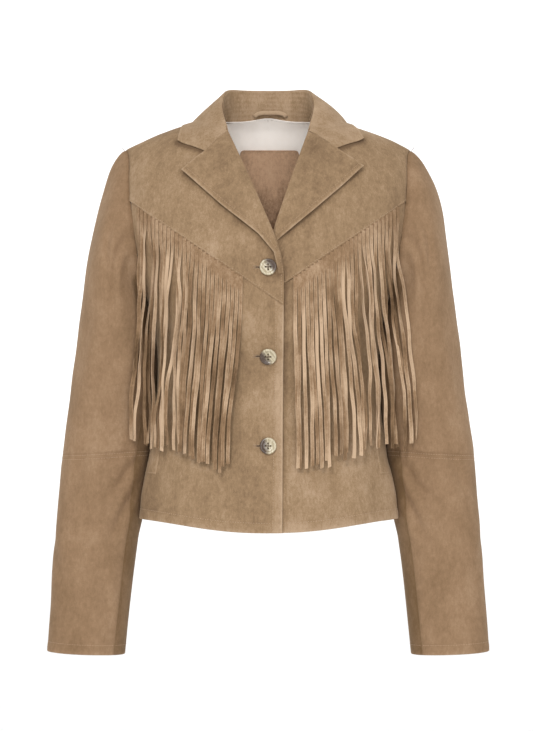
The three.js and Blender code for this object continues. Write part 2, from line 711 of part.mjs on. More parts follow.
function lapelPiece(side) {
  const corners = LAPEL[side];
  const roll = corners.roll.map((p) => point(p.x, 0, p.z));
  const edge = corners.edge.map((p) => point(p.x, 0, p.z));
  const NOTCH_SHARE = 0.5; // the share of the upper edge that is the gorge seam
  const seen = (q, p) => {
    const from = along(roll, p);
    const to = along(edge, p);
    const straight = from.clone().lerp(to, q);
    const notch = point(corners.notch.x, 0, corners.notch.z);
    const dent = notch.sub(from.clone().lerp(to, NOTCH_SHARE));
    const share = q < NOTCH_SHARE ? q / NOTCH_SHARE : (1 - q) / (1 - NOTCH_SHARE);
    return p > 0.3 ? straight : straight.addScaledVector(dent, share * (1 - p / 0.3) ** 2);
  };
  const surface = trimmed(
    (q, p) => {
      const s = seen(q, p);
      return onSide(onFront(side, s.x, s.z, 0), side);
    },
    { a0: 0, a1: 0, b0: SEAM / 2, b1: 0 },
  );
  // The fold stands up softly at the roll and lies down at the edge.
  const lift = (q) => LIFT + 2.6 * (1 - q) ** 1.5 * smooth(q * 5) + 0.3 * q;
  return wall(
    "lapel_" + side,
    surface,
    bodyMiddle,
    [8, 12],
    (q) => lift(q) + DOUBLE_SUEDE,
    (q) => lift(q),
    suede,
  );
}

// A smooth line through the points of a table, on the wearer's left.
function lineThrough(rows) {
  return new THREE.CatmullRomCurve3(rows.map((r) => point(r.x, r.y, r.z)), false, "centripetal");
}

// Half of the collar: share runs from 0 at the nape to 1 at the gorge, width from 0 at the roll to 1 at
// the free edge. The last cross-section follows the gorge seam and then the edge of the notch.
function collarHalf(side) {
  const { notch, tip } = LAPEL[side];
  const gorge = LAPEL[side].roll[0];
  const rollEnd = onFront(side, gorge.x, gorge.z, 3.4);
  const tipEnd = onFront(side, tip.x, tip.z, 3.0);
  const rollLine = lineThrough([...COLLAR_ROLL, rollEnd]);
  const edgeLine = lineThrough([...COLLAR_EDGE, tipEnd]);
  const NOTCH_SHARE = 0.5;
  const notchPoint = onFront(side, notch.x, notch.z, 3.0);
  return (share, width) => {
    const from = rollLine.getPoint(share);
    const to = edgeLine.getPoint(share);
    const p = from.clone().lerp(to, width);
    const dent = notchPoint.clone().sub(from.clone().lerp(to, NOTCH_SHARE));
    const tri = width < NOTCH_SHARE ? width / NOTCH_SHARE : (1 - width) / (1 - NOTCH_SHARE);
    if (share > 0.7) p.addScaledVector(dent, tri * ((share - 0.7) / 0.3) ** 2);
    // The leaf swells a little between roll and edge, away from the neck.
    const away = point(p.x, p.y * 0.8, 14).normalize();
    p.addScaledVector(away, (6 + 4 * Math.sin(Math.PI * share)) * Math.sin(Math.PI * width) * (1 - share ** 4));
    return onSide(clearOfBody(p, lerp(4.2, 3.4, width)), side);
  };
}

function collarPiece() {
  const halves = { right: collarHalf("right"), left: collarHalf("left") };
  const whole = (a, b) => halves[a < 0.5 ? "right" : "left"](Math.abs(2 * a - 1), 1 - b);
  const surface = trimmed(whole, { a0: SEAM, a1: SEAM, b0: 0, b1: 0 });
  return wall("collar", surface, point(0, 20, -40), [28, 6], 0, -DOUBLE_SUEDE, suede);
}

// The stand rises from the neckline seam to just under the roll.
function standPiece() {
  const baseRows = [];
  for (let k = 0; k <= 4; k += 1) {
    const x = (NECK_HALF * k) / 4;
    const angle = (Math.asin((x / SHOULDER_TIP) ** (ROUND / 2)) * 180) / Math.PI;
    baseRows.push(bodyPoint("back", angle, backTop(angle)));
  }
  const half = (side) => {
    const gorge = LAPEL[side].roll[0];
    const base = lineThrough([...baseRows, onFront(side, gorge.x + 1, gorge.z + 2, 0.2)]);
    const top = lineThrough([...COLLAR_ROLL, onFront(side, gorge.x + 1, gorge.z + 6, 3)]);
    return (share, rise) => {
      const from = base.getPoint(share * 0.93);
      const to = top.getPoint(share * 0.93);
      const inward = point(-to.x, 10 - to.y, 0).normalize();
      to.addScaledVector(inward, 2.6).add(point(0, 0, -2.2));
      from.addScaledVector(point(-from.x, 10 - from.y, 0).normalize(), 3);
      const p = from.clone().lerp(to, lerp(0.02, 1, rise));
      return onSide(p, side);
    };
  };
  const halves = { right: half("right"), left: half("left") };
  const surface = (a, b) => halves[a < 0.5 ? "right" : "left"](Math.abs(2 * a - 1), b);
  return wall("collar_stand", surface, point(0, 10, 25), [24, 3], 0, -SUEDE, suede);
}

// ---------------------------------------------------------------- pocket welts, buttons, hanger loop
function pocketWelt(side) {
  const WELT = { from: 62, to: 73.5, bottom: -456, top: -322 };
  const surface = (a, b) => {
    const angle = lerp(WELT.from, WELT.to, a);
    const z = lerp(WELT.bottom, WELT.top, b);
    const hem = HEM_Z - HEM_DIP.front * Math.cos(rad(angle)) ** 4;
    return onSide(bodyPoint("front", angle, -(CHEST_Z - z) / (CHEST_Z - hem)), side);
  };
  return wall("pocket_welt_" + side, surface, bodyMiddle, [3, 9], 0.4 + LIFT + SUEDE, 0.4 + LIFT, suede);
}

function buttonPiece(name, height) {
  const { radius, thick } = BUTTON;
  const profile = [
    [0, 0],
    [radius * 0.72, 0],
    [radius * 0.95, thick * 0.35],
    [radius, thick * 0.62],
    [radius * 0.93, thick * 0.95],
    [radius * 0.76, thick],
    [radius * 0.6, thick * 0.62],
    [0, thick * 0.55],
  ].map(([r, h]) => new THREE.Vector2(r, h));
  let solid = solidOfGeometry(new THREE.LatheGeometry(profile, 20));
  const HOLE = { radius: 1.1, from: 2.3 };
  for (const [i, j] of [[1, 1], [1, -1], [-1, 1], [-1, -1]]) {
    const hole = new THREE.CylinderGeometry(HOLE.radius, HOLE.radius, thick * 3, 6);
    hole.translate(i * HOLE.from, 0, j * HOLE.from);
    solid = solid.subtract(solidOfGeometry(hole));
  }
  const mesh = meshOfSolid(name, solid, horn);
  const seat = onSide(onFront("right", 0.01, height, LIFT + 0.3), "right");
  const above = onFront("right", 0.01, height + 8, 0);
  const below = onFront("right", 0.01, height - 8, 0);
  const up = above.sub(below).normalize();
  const out = point(0, -up.z, up.y).normalize();
  mesh.quaternion.setFromUnitVectors(point(0, 1, 0), out);
  mesh.position.copy(seat);
  return mesh;
}

function hangerLoop() {
  const LOOP = { half: 21, middle: 3, back: 49.2, bow: 1.0, foot: 11.5, rise: 5, width: 5.5, thick: 1.4 };
  const rows = [-1, -0.82, -0.5, 0, 0.5, 0.82, 1];
  const path = rows.map((t) => {
    const lift = 1 - Math.abs(t) ** 3.2;
    return point(LOOP.middle + LOOP.half * t, LOOP.back - LOOP.bow * lift, LOOP.foot + LOOP.rise * lift);
  });
  const positions = [];
  path.forEach((p, i) => {
    const run = path[Math.min(i + 1, rows.length - 1)].clone().sub(path[Math.max(0, i - 1)]).normalize();
    const face = point(0, -1, 0);
    const wide = face.clone().cross(run).normalize().multiplyScalar(LOOP.width / 2);
    for (const [w, d] of [[-1, 0], [1, 0], [1, 1], [-1, 1]]) {
      const q = p.clone().addScaledVector(wide, w).addScaledVector(face, d * LOOP.thick);
      positions.push(q.x, q.y, q.z);
    }
  });
  const { indices } = strapArrays(path, point(0, 0, 1), 1, 1);
  return meshOf("hanger_loop", positions, indices, suede);
}

// ---------------------------------------------------------------- fringes
// The fringe is one strip: a header sewn into the yoke seam, cut below into strands that hang straight
// down, held off by whatever cloth is behind them.
function fringePiece(side, behind) {
  const ray = new THREE.Raycaster();
  const hit = (x, z) => {
    ray.set(point(x, -400, z), point(0, 1, 0));
    const found = ray.intersectObjects(behind, false);
    return found.length ? found[0].point.y : 400;
  };
  const clothAt = (x, z) => Math.min(hit(x - 2.5, z), hit(x, z), hit(x + 2.5, z));
  const seamZ = (x) => {
    const start = placeAt("front", x, yokeHeight(x));
    const fitted = yokeSeamHeightAt(start.angle);
    return bodyPoint("front", start.angle, fitted).z;
  };
  const header = trimmed(
    (a, b) => {
      const x = lerp(FRINGE.from - 2.4, FRINGE.to + 1.8, a);
      const z = seamZ(x) - lerp(FRINGE.header, 0.6, b);
      const { angle, height } = placeAt("front", x, z);
      return onSide(bodyPoint("front", angle, height), side);
    },
    { a0: 0, a1: 0, b0: 0, b1: 0 },
  );
  const lift = (a, b) => FRINGE.lift + lapLift(side, header(a, b).x * SIDES[side]);
  const strip = wallArrays(header, bodyMiddle, [16, 1], (a, b) => lift(a, b) + 1.5, lift);
  let solid = solidOf(strip.positions, strip.indices);
  for (let k = 0; k < FRINGE.strands; k += 1) {
    const share = k / (FRINGE.strands - 1);
    const x0 = lerp(FRINGE.from, FRINGE.to, share);
    const top = seamZ(x0) - FRINGE.header + 2.5;
    const tip = lerp(FRINGE.tips.inner, FRINGE.tips.outer, share) + 3 * Math.sin(k * 2.4);
    const root = onFront(side, x0, top, FRINGE.lift + 0.75);
    let y = root.y;
    const path = [];
    for (let i = 0; i <= FRINGE.steps; i += 1) {
      const t = (i / FRINGE.steps) ** 1.25;
      const z = lerp(top, tip, t);
      const x = x0 + FRINGE.lean * t ** 1.4;
      const wanted = clothAt(x * SIDES[side], z) - FRINGE.clear - FRINGE.thick / 2;
      y = i === 0 ? y : Math.min(y - (i === 1 ? 1.2 : 0), wanted);
      const sway = i < 2 ? 0 : 0.9 * Math.sin(k * 1.9) - 0.9;
      path.push(point(x * SIDES[side], y + sway, z));
    }
    const strand = strapArrays(path, point(1, 0, 0), FRINGE.width, FRINGE.thick);
    solid = solid.add(solidOf(strand.positions, strand.indices));
  }
  return meshOfSolid("fringe_" + side, solid, fringeSuede);
}

// Height of the yoke seam at a ring angle, found between the seam's own steps.
function yokeSeamHeightAt(angle) {
  let low = 0;
  let high = 1;
  for (let k = 0; k < 24; k += 1) {
    const middle = (low + high) / 2;
    if (yokeSeam(middle).angle < angle) low = middle;
    else high = middle;
  }
  return yokeSeam((low + high) / 2).height;
}

// ---------------------------------------------------------------- the blazer
const blazer = new THREE.Group();
const clothBehindFringe = { right: [], left: [] };
for (const side of ["right", "left"]) {
  const front = frontPiece("front_" + side, frontLowerPlaces(), side, [SEAM_STEPS + 4, SIDE_STEPS], allRound);
  const yoke = frontPiece("front_yoke_" + side, frontYokePlaces(side), side, [SEAM_STEPS, 10], atShoulder);
  const topRange = [FRONT_SEAM, 0, HIND_SEAM - 360];
  const underRange = [FRONT_SEAM, 180, HIND_SEAM];
  const sleeve = [
    sleevePiece("sleeve_upper_top_" + side, side, topRange, true, [14, 11]),
    sleevePiece("sleeve_upper_under_" + side, side, underRange, true, [6, 11]),
    sleevePiece("sleeve_fore_top_" + side, side, topRange, false, [14, 7]),
    sleevePiece("sleeve_fore_under_" + side, side, underRange, false, [6, 7]),
  ];
  clothBehindFringe[side] = [front, ...sleeve];
  blazer.add(front, yoke, ...sleeve, lapelPiece(side), pocketWelt(side), backPiece("back_" + side, side));
}
blazer.add(backLining(), innerPatch(), standPiece(), collarPiece(), hangerLoop());
["top", "middle", "bottom"].forEach((place, i) => {
  blazer.add(buttonPiece("button_" + place, BUTTON.heights[i]));
});
blazer.updateMatrixWorld(true);
for (const side of ["right", "left"]) blazer.add(fringePiece(side, clothBehindFringe[side]));

export default blazer;
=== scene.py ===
import bpy
import numpy as np
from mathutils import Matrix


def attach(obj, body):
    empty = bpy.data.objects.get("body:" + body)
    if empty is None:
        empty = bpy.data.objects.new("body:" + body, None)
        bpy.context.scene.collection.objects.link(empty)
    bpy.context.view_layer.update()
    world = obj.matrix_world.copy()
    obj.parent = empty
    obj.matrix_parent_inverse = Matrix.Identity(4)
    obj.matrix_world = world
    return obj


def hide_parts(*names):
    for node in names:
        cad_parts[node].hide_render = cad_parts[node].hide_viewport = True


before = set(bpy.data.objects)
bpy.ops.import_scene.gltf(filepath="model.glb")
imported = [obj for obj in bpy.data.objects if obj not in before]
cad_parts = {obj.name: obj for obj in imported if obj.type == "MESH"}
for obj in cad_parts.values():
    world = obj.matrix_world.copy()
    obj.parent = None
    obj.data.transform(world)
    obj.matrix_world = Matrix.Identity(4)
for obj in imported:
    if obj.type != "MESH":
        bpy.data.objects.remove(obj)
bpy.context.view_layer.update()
scene = bpy.context.scene
MM = 0.001


# ---------------------------------------------------------------------------------------------------------
# The studio: a white floor far below the cuffs that sweeps up behind, a large soft key lamp from above and in
# front, a weaker one level with the garment that also reaches into the neck, and a white room all round.
def srgb(code):
    """A colour written as sRGB hex, as the linear values that Blender works in."""
    parts = [int(code[i : i + 2], 16) / 255 for i in (1, 3, 5)]
    return tuple(c / 12.92 if c <= 0.04045 else ((c + 0.055) / 1.055) ** 2.4 for c in parts) + (1.0,)


def add_node(material, kind, settings=None, **links):
    """Adds a node. Settings are its fields and plain inputs; links are inputs fed by other nodes' sockets,
    named with _ for a space, or numbered after a _."""
    node = material.node_tree.nodes.new(kind)
    for key, value in (settings or {}).items():
        if key in node.inputs:
            node.inputs[key].default_value = value
        else:
            setattr(node, key, value)
    for key, socket in links.items():
        target = node.inputs[int(key[1:])] if key[0] == "_" else node.inputs[key.replace("_", " ")]
        material.node_tree.links.new(socket, target)
    return node


def new_material(name, **finish):
    """A material and its shader, with the finish set on the shader's own sockets."""
    material = bpy.data.materials.new(name)
    material.use_nodes = True
    shader = material.node_tree.nodes["Principled BSDF"]
    for socket, value in finish.items():
        shader.inputs[socket.replace("_", " ")].default_value = value
    return material, shader


FLOOR_Z = -1330  # the height of a wearer's shoulders above the ground
SWEEP = {"front": -24000, "bend": 14000, "radius": 4000, "half": 24000, "top": 14000}
bend = np.linspace(0, np.pi / 2, 17)
sweep_line = [(SWEEP["front"], FLOOR_Z)]
sweep_line += list(
    zip(SWEEP["bend"] + SWEEP["radius"] * np.sin(bend), FLOOR_Z + SWEEP["radius"] * (1 - np.cos(bend)))
)
sweep_line.append((sweep_line[-1][0], SWEEP["top"]))
floor_mesh = bpy.data.meshes.new("studio_floor")
floor_mesh.from_pydata(
    [(x * SWEEP["half"] * MM, y * MM, z * MM) for y, z in sweep_line for x in (-1, 1)],
    [],
    [(2 * k, 2 * k + 1, 2 * k + 3, 2 * k + 2) for k in range(len(sweep_line) - 1)],
)
floor_mesh.polygons.foreach_set("use_smooth", [True] * len(floor_mesh.polygons))
studio_floor = bpy.data.objects.new("studio_floor", floor_mesh)
scene.collection.objects.link(studio_floor)
floor_mesh.materials.append(
    new_material("matt_white_studio_paint", Base_Color=srgb("#FBFBFB"), Roughness=0.9)[0]
)

room = bpy.data.worlds.new("white_room")
room.use_nodes = True
room.node_tree.nodes["Background"].inputs["Color"].default_value = (1, 1, 1, 1)
room.node_tree.nodes["Background"].inputs["Strength"].default_value = 0.7
scene.world = room


def far_softbox(name, place, strength, spread):
    """A large lamp far away in the direction of a place, as wide as its spread in degrees."""
    lamp = bpy.data.lights.new(name, "SUN")
    lamp.energy = strength
    lamp.angle = np.radians(spread)
    holder = bpy.data.objects.new(name, lamp)
    scene.collection.objects.link(holder)
    x, y, z = place
    holder.rotation_euler = (np.arctan2(np.hypot(x, y), z), 0, np.arctan2(x, -y))


far_softbox("key_softbox", (-0.22, -1.0, 0.55), 1.4, 16)
far_softbox("fill_softbox", (0.25, -1.0, 0.02), 1.05, 36)

CAMERA_AWAY = 3250
CAMERA_AIM = (-2, -316.5)  # x and z of the picture's middle
PICTURE_HEIGHT = 731 * 1.3  # what the picture spans at the garment's middle plane
camera_data = bpy.data.cameras.new("camera")
camera_data.sensor_fit = "VERTICAL"
camera_data.sensor_height = 36
camera_data.lens = 36 * CAMERA_AWAY / PICTURE_HEIGHT
camera_data.clip_end = 100
camera = bpy.data.objects.new("camera", camera_data)
camera.location = (CAMERA_AIM[0] * MM, -CAMERA_AWAY * MM, CAMERA_AIM[1] * MM)
camera.rotation_euler = (np.pi / 2, 0, 0)
scene.collection.objects.link(camera)
scene.camera = camera
scene.view_settings.view_transform = "Standard"


# ---------------------------------------------------------------------------------------------------------
# The two fronts: soft goat suede about 1.6 mm thick with its backing, cut from the yoke seam to the hem and
# round to the side seam. The wearer's right one laps over the left one and is edge-stitched twice.
CHEST_Z = -235
HEM_Z = -513.5
HEM_DIP = {"front": 13, "back": 4}
SHOULDER_Y = 5
NECK_HALF = 66
SHOULDER_TIP = 187
ROUND = 2.3
ARCH = {"front": 2.0, "back": 2.4}
NAPE_RISE = 33
LAP = 19.7
LAP_LIFT = 3.3
YOKE_CENTRE, YOKE_RISE = -228, 0.685
ARMHOLE = {"front": (21, 0.36), "back": (21, 0.4)}  # widest bite in degrees, and how far up it lies
SUEDE = 1.6
PITCH = 3.0  # spacing of the meshes' points
INSIDE_BODY = (0, 0, -200)  # a point that the body's faces look away from
FACING, HEM_ALLOWANCE = 62, 32  # suede turned in from the front edge and up from the hem, before the lining
BODY = [  # height, half breadth, depth to the front, depth to the back
    (-513.5, 164.5, 119, 112),
    (-465, 159, 112, 103),
    (-420, 151.5, 107, 94),
    (-375, 145, 104, 88),
    (-325, 142, 108, 89),
    (-280, 145, 121, 99),
    (-235, 156, 128, 108),
    (-180, 174, 128, 108),
    (-130, 184, 128, 108),
    (-85, 189, 128, 108),
    (-39, 187, 128, 108),
]
SIDES = {"right": -1, "left": 1}


def lerp(a, b, t):
    """From a to b by the share t."""
    return a + (b - a) * t


def ease(t):
    """A share that starts and ends softly, and stays 0 before and 1 after."""
    t = np.clip(t, 0, 1)
    return t * t * (3 - 2 * t)


def near(distance, width):
    """1 on a line, fading softly away over about a width to both sides of it."""
    return np.exp(-((distance / width) ** 2))


def smooth_table(rows):
    """Reads a table's columns smoothly at any place along its first column."""
    data = np.array(sorted(rows), float)
    keys, values = data[:, 0], data[:, 1:]
    last = len(keys) - 1
    before = np.clip(np.arange(last + 1) - 1, 0, last)
    after = np.clip(np.arange(last + 1) + 1, 0, last)
    slopes = (values[after] - values[before]) / (keys[after] - keys[before])[:, None]

    def curve(at):
        at = np.clip(np.asarray(at, float), keys[0], keys[-1])
        i = np.clip(np.searchsorted(keys, at, side="right") - 1, 0, last - 1)
        step = (keys[i + 1] - keys[i])[..., None]
        t = (at - keys[i])[..., None] / step
        return (
            (2 * t**3 - 3 * t**2 + 1) * values[i]
            + (t**3 - 2 * t**2 + t) * step * slopes[i]
            + (3 * t**2 - 2 * t**3) * values[i + 1]
            + (t**3 - t**2) * step * slopes[i + 1]
        )

    return curve


body_row = smooth_table(BODY)
FACE_COLUMN = {"front": 1, "back": 2}


def shoulder_height(x):
    """How high the shoulders' slope lies at a distance from the middle."""
    share = np.maximum(0, np.abs(x) - 45) / (SHOULDER_TIP - 45)
    return 4 - 41 * share**1.85


def arch_top(face, x):
    """How high the body's form reaches; at the back it rises to the nape."""
    rise = NAPE_RISE * (1 - ease(np.abs(x) / NECK_HALF)) if face == "back" else 0
    return shoulder_height(x) + rise


def body_point(face, angle, height):
    """A point of the body's form: the angle runs from its middle to the side, the height from -1 at the
    hem over 0 at the chest to 1 at the shoulder."""
    angle, height = np.broadcast_arrays(np.asarray(angle, float), np.asarray(height, float))
    turn = np.radians(angle)
    across = np.sign(angle) * np.abs(np.sin(turn)) ** (2 / ROUND)
    deep = np.maximum(0, np.cos(turn)) ** (2 / ROUND)
    forward = -1 if face == "front" else 1
    column = FACE_COLUMN[face]
    hem = HEM_Z - HEM_DIP[face] * np.cos(turn) ** 4
    z_low = lerp(CHEST_Z, hem, np.maximum(0, -height))
    row = body_row(np.maximum(z_low, HEM_Z))
    low = np.stack([row[..., 0] * across, forward * row[..., column] * deep, z_low], -1)
    swing = np.pi / 2 * np.clip(height, 0, 1)
    up = np.sin(swing) ** (2 / ARCH[face])
    out = np.cos(swing) ** (2 / ARCH[face])
    z = lerp(CHEST_Z, arch_top(face, 100), up)
    for _ in range(4):
        x = body_row(z)[..., 0] * across
        z = lerp(CHEST_Z, arch_top(face, x), up)
    depth = body_row(CHEST_Z)[column] * deep
    high = np.stack([x, forward * depth * out + SHOULDER_Y * (1 - out), z], -1)
    return np.where((height <= 0)[..., None], low, high)


def place_at(face, x, z):
    """Angle and height of the point of a face that is seen at x and z."""
    x, z = np.broadcast_arrays(np.asarray(x, float), np.asarray(z, float))
    half = body_row(np.maximum(z, HEM_Z))[..., 0]
    share = np.clip(np.abs(x) / half, 0, 1) ** (ROUND / 2)
    angle = np.sign(x) * np.degrees(np.arcsin(share))
    hem = HEM_Z - HEM_DIP[face] * np.cos(np.radians(angle)) ** 4
    low = -(CHEST_Z - z) / (CHEST_Z - hem)
    up = np.clip((z - CHEST_Z) / (arch_top(face, x) - CHEST_Z), 0, 1)
    return angle, np.where(z <= CHEST_Z, low, 2 / np.pi * np.arcsin(up ** (ARCH[face] / 2)))


def armhole_angle(face, height):
    """How far round the body a face reaches: to the side seam, or less where the armhole bites in."""
    bite, widest = ARMHOLE[face]
    height = np.asarray(height, float)
    share = np.where(height < widest, (widest - height) / widest, (height - widest) / (1 - widest))
    return 90 - np.where(height <= 0, 0, bite * np.sqrt(np.maximum(0, 1 - share**2)))


def yoke_height(x):
    """Height of the yoke's slanting lower edge at a distance from the middle."""
    return YOKE_CENTRE + YOKE_RISE * x


YOKE_END = (69, 0.44)


def yoke_line(angle):
    """How high the yoke's straight line lies at an angle of the body's form."""
    share = np.sin(np.radians(angle))
    share = np.sign(share) * np.abs(share) ** (2 / ROUND)
    x = 175 * share
    for _ in range(4):
        x = body_row(yoke_height(x))[..., 0] * share
    return place_at("front", x, yoke_height(x))[1]


def yoke_seam(a):
    """Angle and height along the yoke seam, from the front edge to the armhole."""
    start = place_at("front", -LAP, yoke_height(-LAP))[0]
    angle = lerp(start, YOKE_END[0], a)
    return angle, yoke_line(angle) + (YOKE_END[1] - yoke_line(YOKE_END[0])) * ease((a - 0.75) / 0.25)


def fill_between(a, b, bottom, top, left, right):
    """Fills the grid of a and b between four edges, each a function that gives angle and height."""
    grid_a, grid_b = np.meshgrid(a, b)
    result = []
    for k in (0, 1):
        low, high = bottom(a)[k][None], top(a)[k][None]
        start, end = left(b)[k][:, None], right(b)[k][:, None]
        corners = (
            (1 - grid_a) * (1 - grid_b) * low[:, :1]
            + grid_a * (1 - grid_b) * low[:, -1:]
            + (1 - grid_a) * grid_b * high[:, :1]
            + grid_a * grid_b * high[:, -1:]
        )
        result.append((1 - grid_b) * low + grid_b * high + (1 - grid_a) * start + grid_a * end - corners)
    return result


def steps(length, pitch=PITCH):
    """Places from 0 to 1 along a length, closer together at both ends, where the edges are rounded."""
    fine = np.array([0, 0.5, 1.2, 2.2]) / length
    count = max(4, int(round(length / pitch)))
    return np.concatenate([fine[:-1], np.linspace(fine[-1], 1 - fine[-1], count), 1 - fine[-2::-1]])


def with_normals(points, inside):
    """The grid's normals, turned away from a point inside the garment."""
    normals = np.cross(np.gradient(points, axis=1), np.gradient(points, axis=0))
    normals /= np.linalg.norm(normals, axis=2, keepdims=True) + 1e-9
    mid = (points.shape[0] // 2, points.shape[1] // 2)
    if normals[mid] @ (points[mid] - np.asarray(inside)) < 0:
        normals = -normals
    return normals


def edge_distances(points):
    """How far each point of a grid lies from each of its four edges, along the cloth."""
    rows = np.cumsum(np.linalg.norm(np.diff(points, axis=0, prepend=points[:1]), axis=2), axis=0)
    cols = np.cumsum(np.linalg.norm(np.diff(points, axis=1, prepend=points[:, :1]), axis=2), axis=1)
    return {"bottom": rows, "top": rows[-1:] - rows, "left": cols, "right": cols[:, -1:] - cols}


def measured(points, inside=INSIDE_BODY):
    """A grid's normals and its points' distances from its edges."""
    return with_normals(points, inside), edge_distances(points)


def drift(points, wavelength, seed, count=9):
    """A soft, uneven rise and fall of about -1 to 1 over a form, the same on every run."""
    rng = np.random.default_rng(seed)
    total = np.zeros(points.shape[:-1])
    for _ in range(count):
        way = rng.normal(size=3)
        way *= 2 * np.pi / (np.linalg.norm(way) * wavelength * rng.uniform(0.7, 1.5))
        total += np.sin(points @ way + rng.uniform(0, 2 * np.pi))
    return total / np.sqrt(2 * count)


def fold(across, up, slant, length, width, depth):
    """A soft trough with a low ridge beside it, at a place (across, up) from its middle."""
    turn = np.radians(slant)
    off = across * np.cos(turn) - up * np.sin(turn)
    run = across * np.sin(turn) + up * np.cos(turn)
    fade = np.maximum(0, 1 - (run / length) ** 2) ** 2
    hollow = near(off, width)
    ridge = 0.6 * near(off - 1.7 * width, 1.3 * width)
    return depth * fade * (ridge - hollow)


def folded(rise, folds, across, up):
    """A relief with folds added to it, each given by its place and then its shape."""
    for x, z, *shape in folds:
        rise = rise + fold(across - x, up - z, *shape)
    return rise


def seam_dip(distance, depth=1.0, width=2.4):
    """Cloth turned under at a seam: its face rolls down towards the edge."""
    return -depth * near(distance, width)


def stitched(distance, at, run, seed, depth=0.45):
    """A topstitched line pulls the cloth down in a narrow groove, with small uneven puckers beside it."""
    pucker = np.sin(run / 1.9 + 2.2 * np.sin(run / 23 + seed)) * (0.6 + 0.4 * np.sin(run / 41 + seed * 1.7))
    groove = -depth * near(distance - at, 1.1)
    return groove + 0.13 * pucker * near(distance - at, 3.2)


def tube_faces(base, rings, sides):
    """Faces round a tube of rings of points, and one on each end. base is the number of its first point."""
    faces = []
    for k in range(rings - 1):
        for j in range(sides):
            p, q = base + sides * k + j, base + sides * k + (j + 1) % sides
            faces.append((p, q, q + sides, p + sides))
    end = base + sides * (rings - 1)
    return faces + [tuple(range(base + sides - 1, base - 1, -1)), tuple(range(end, end + sides))]


def make_object(name, verts, faces, materials, smooth=True):
    """Makes a piece from points in metres and faces."""
    mesh = bpy.data.meshes.new(name)
    faces = faces if isinstance(faces, list) else faces.tolist()
    mesh.from_pydata(np.asarray(verts, float).tolist(), [], faces)
    for material in materials:
        mesh.materials.append(material)
    mesh.polygons.foreach_set("use_smooth", np.full(len(mesh.polygons), smooth))
    piece = bpy.data.objects.new(name, mesh)
    scene.collection.objects.link(piece)
    return piece


def add_values(mesh, name, values):
    """Keeps a number or a vector for each point, which the materials read by its name."""
    values = np.asarray(values, np.float32)
    kind, field = ("FLOAT_VECTOR", "vector") if values.ndim == 2 else ("FLOAT", "value")
    mesh.attributes.new(name, kind, "POINT").data.foreach_set(field, values.ravel())


SEAM_LEAN, SEAM_DROP = 0.8, 2.0  # how far a seam allowance leans out of its edge, and how deep it goes
RIM_SHADE = 1.8  # painted shade: the back of each piece is drawn darker along its rim, for the contact shadow where a cut or turned edge meets what it lies on


def turned_under(points, normals, outer, tone, lined, edge):
    """Adds a row past one edge of a grid, which leans out and down into the seam as a seam allowance does."""
    axis, last = {"bottom": (0, 0), "top": (0, 1), "left": (1, 0), "right": (1, 1)}[edge]
    grids = [np.flip(g, axis) if last else g for g in (points, normals, outer, tone, lined)]
    first, second = (np.take(grids[0], [k], axis=axis) for k in (0, 1))
    way = first - second
    way /= np.linalg.norm(way, axis=-1, keepdims=True) + 1e-9
    lean = np.full(way[..., :1].shape, SEAM_LEAN)
    lean.reshape(-1)[[0, -1]] = 0
    past = [first + way * lean] + [np.take(g, [0], axis=axis) for g in grids[1:]]
    past[2] = past[2] - SEAM_DROP
    past[3] = past[3] - 0.5
    past[4] = np.zeros_like(past[4])
    grids = [np.concatenate([extra, g], axis=axis) for extra, g in zip(past, grids)]
    return [np.flip(g, axis) if last else g for g in grids]


def cloth(
    name,
    points,
    normals,
    outer,
    thickness,
    materials,
    tone=None,
    lined=None,
    turned=(),
    solid=True,
):
    """A closed sheet of cloth: its face stands outer off the points, its back thickness below that, and
    its edges are rounded. tone lightens or darkens places; lined marks where the back shows its lining;
    turned names the edges that go down into a seam. It takes the place of the solid of its name, if there
    is one. Also gives the grid of its face, for the stitches."""
    sewn_face = points + normals * outer[..., None]
    tone = np.zeros(points.shape[:2]) if tone is None else tone
    marks = np.zeros(points.shape[:2], bool) if lined is None else lined
    for edge in turned:
        points, normals, outer, tone, marks = turned_under(points, normals, outer, tone, marks, edge)
    rows, cols = points.shape[:2]
    count = rows * cols
    rim = np.zeros((rows, cols), bool)
    rim[[0, -1]] = True
    rim[:, [0, -1]] = True
    tuck = np.where(rim, 0.3 * thickness, 0)
    face = points + normals * (outer - tuck)[..., None]
    back = points + normals * (outer - thickness + tuck)[..., None]
    index = np.arange(count).reshape(rows, cols)
    quads = np.stack([index[:-1, :-1], index[:-1, 1:], index[1:, 1:], index[1:, :-1]], -1).reshape(-1, 4)
    ring = np.concatenate([index[0, :-1], index[:-1, -1], index[-1, :0:-1], index[:0:-1, 0]])
    after = np.roll(ring, -1)
    sides = np.stack([after, ring, ring + count, after + count], -1)
    faces = np.concatenate([quads, quads[:, ::-1] + count, sides])
    mid = (rows // 2, cols // 2)
    way = np.cross(points[mid[0], mid[1] + 1] - points[mid], points[mid[0] + 1, mid[1]] - points[mid])
    if way @ normals[mid] < 0:
        faces = faces[:, ::-1]
    verts = np.concatenate([face.reshape(-1, 3), back.reshape(-1, 3)]) * MM
    piece = make_object(name, verts, faces, materials)
    # Painted shade: the back face is drawn darker all round the rim, standing in for the contact shadow under
    # the edges.
    under = np.where(rim, tone - RIM_SHADE, tone)
    add_values(piece.data, "tone", np.concatenate([tone.ravel(), under.ravel()]))
    if lined is not None:
        slots = np.zeros(len(faces), np.int32)
        inner = marks[:-1, :-1] & marks[1:, 1:]
        slots[len(quads) : 2 * len(quads)] = inner.ravel()
        piece.data.polygons.foreach_set("material_index", slots)
    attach(piece, "root")
    if solid:
        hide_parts(name)
    return piece, sewn_face


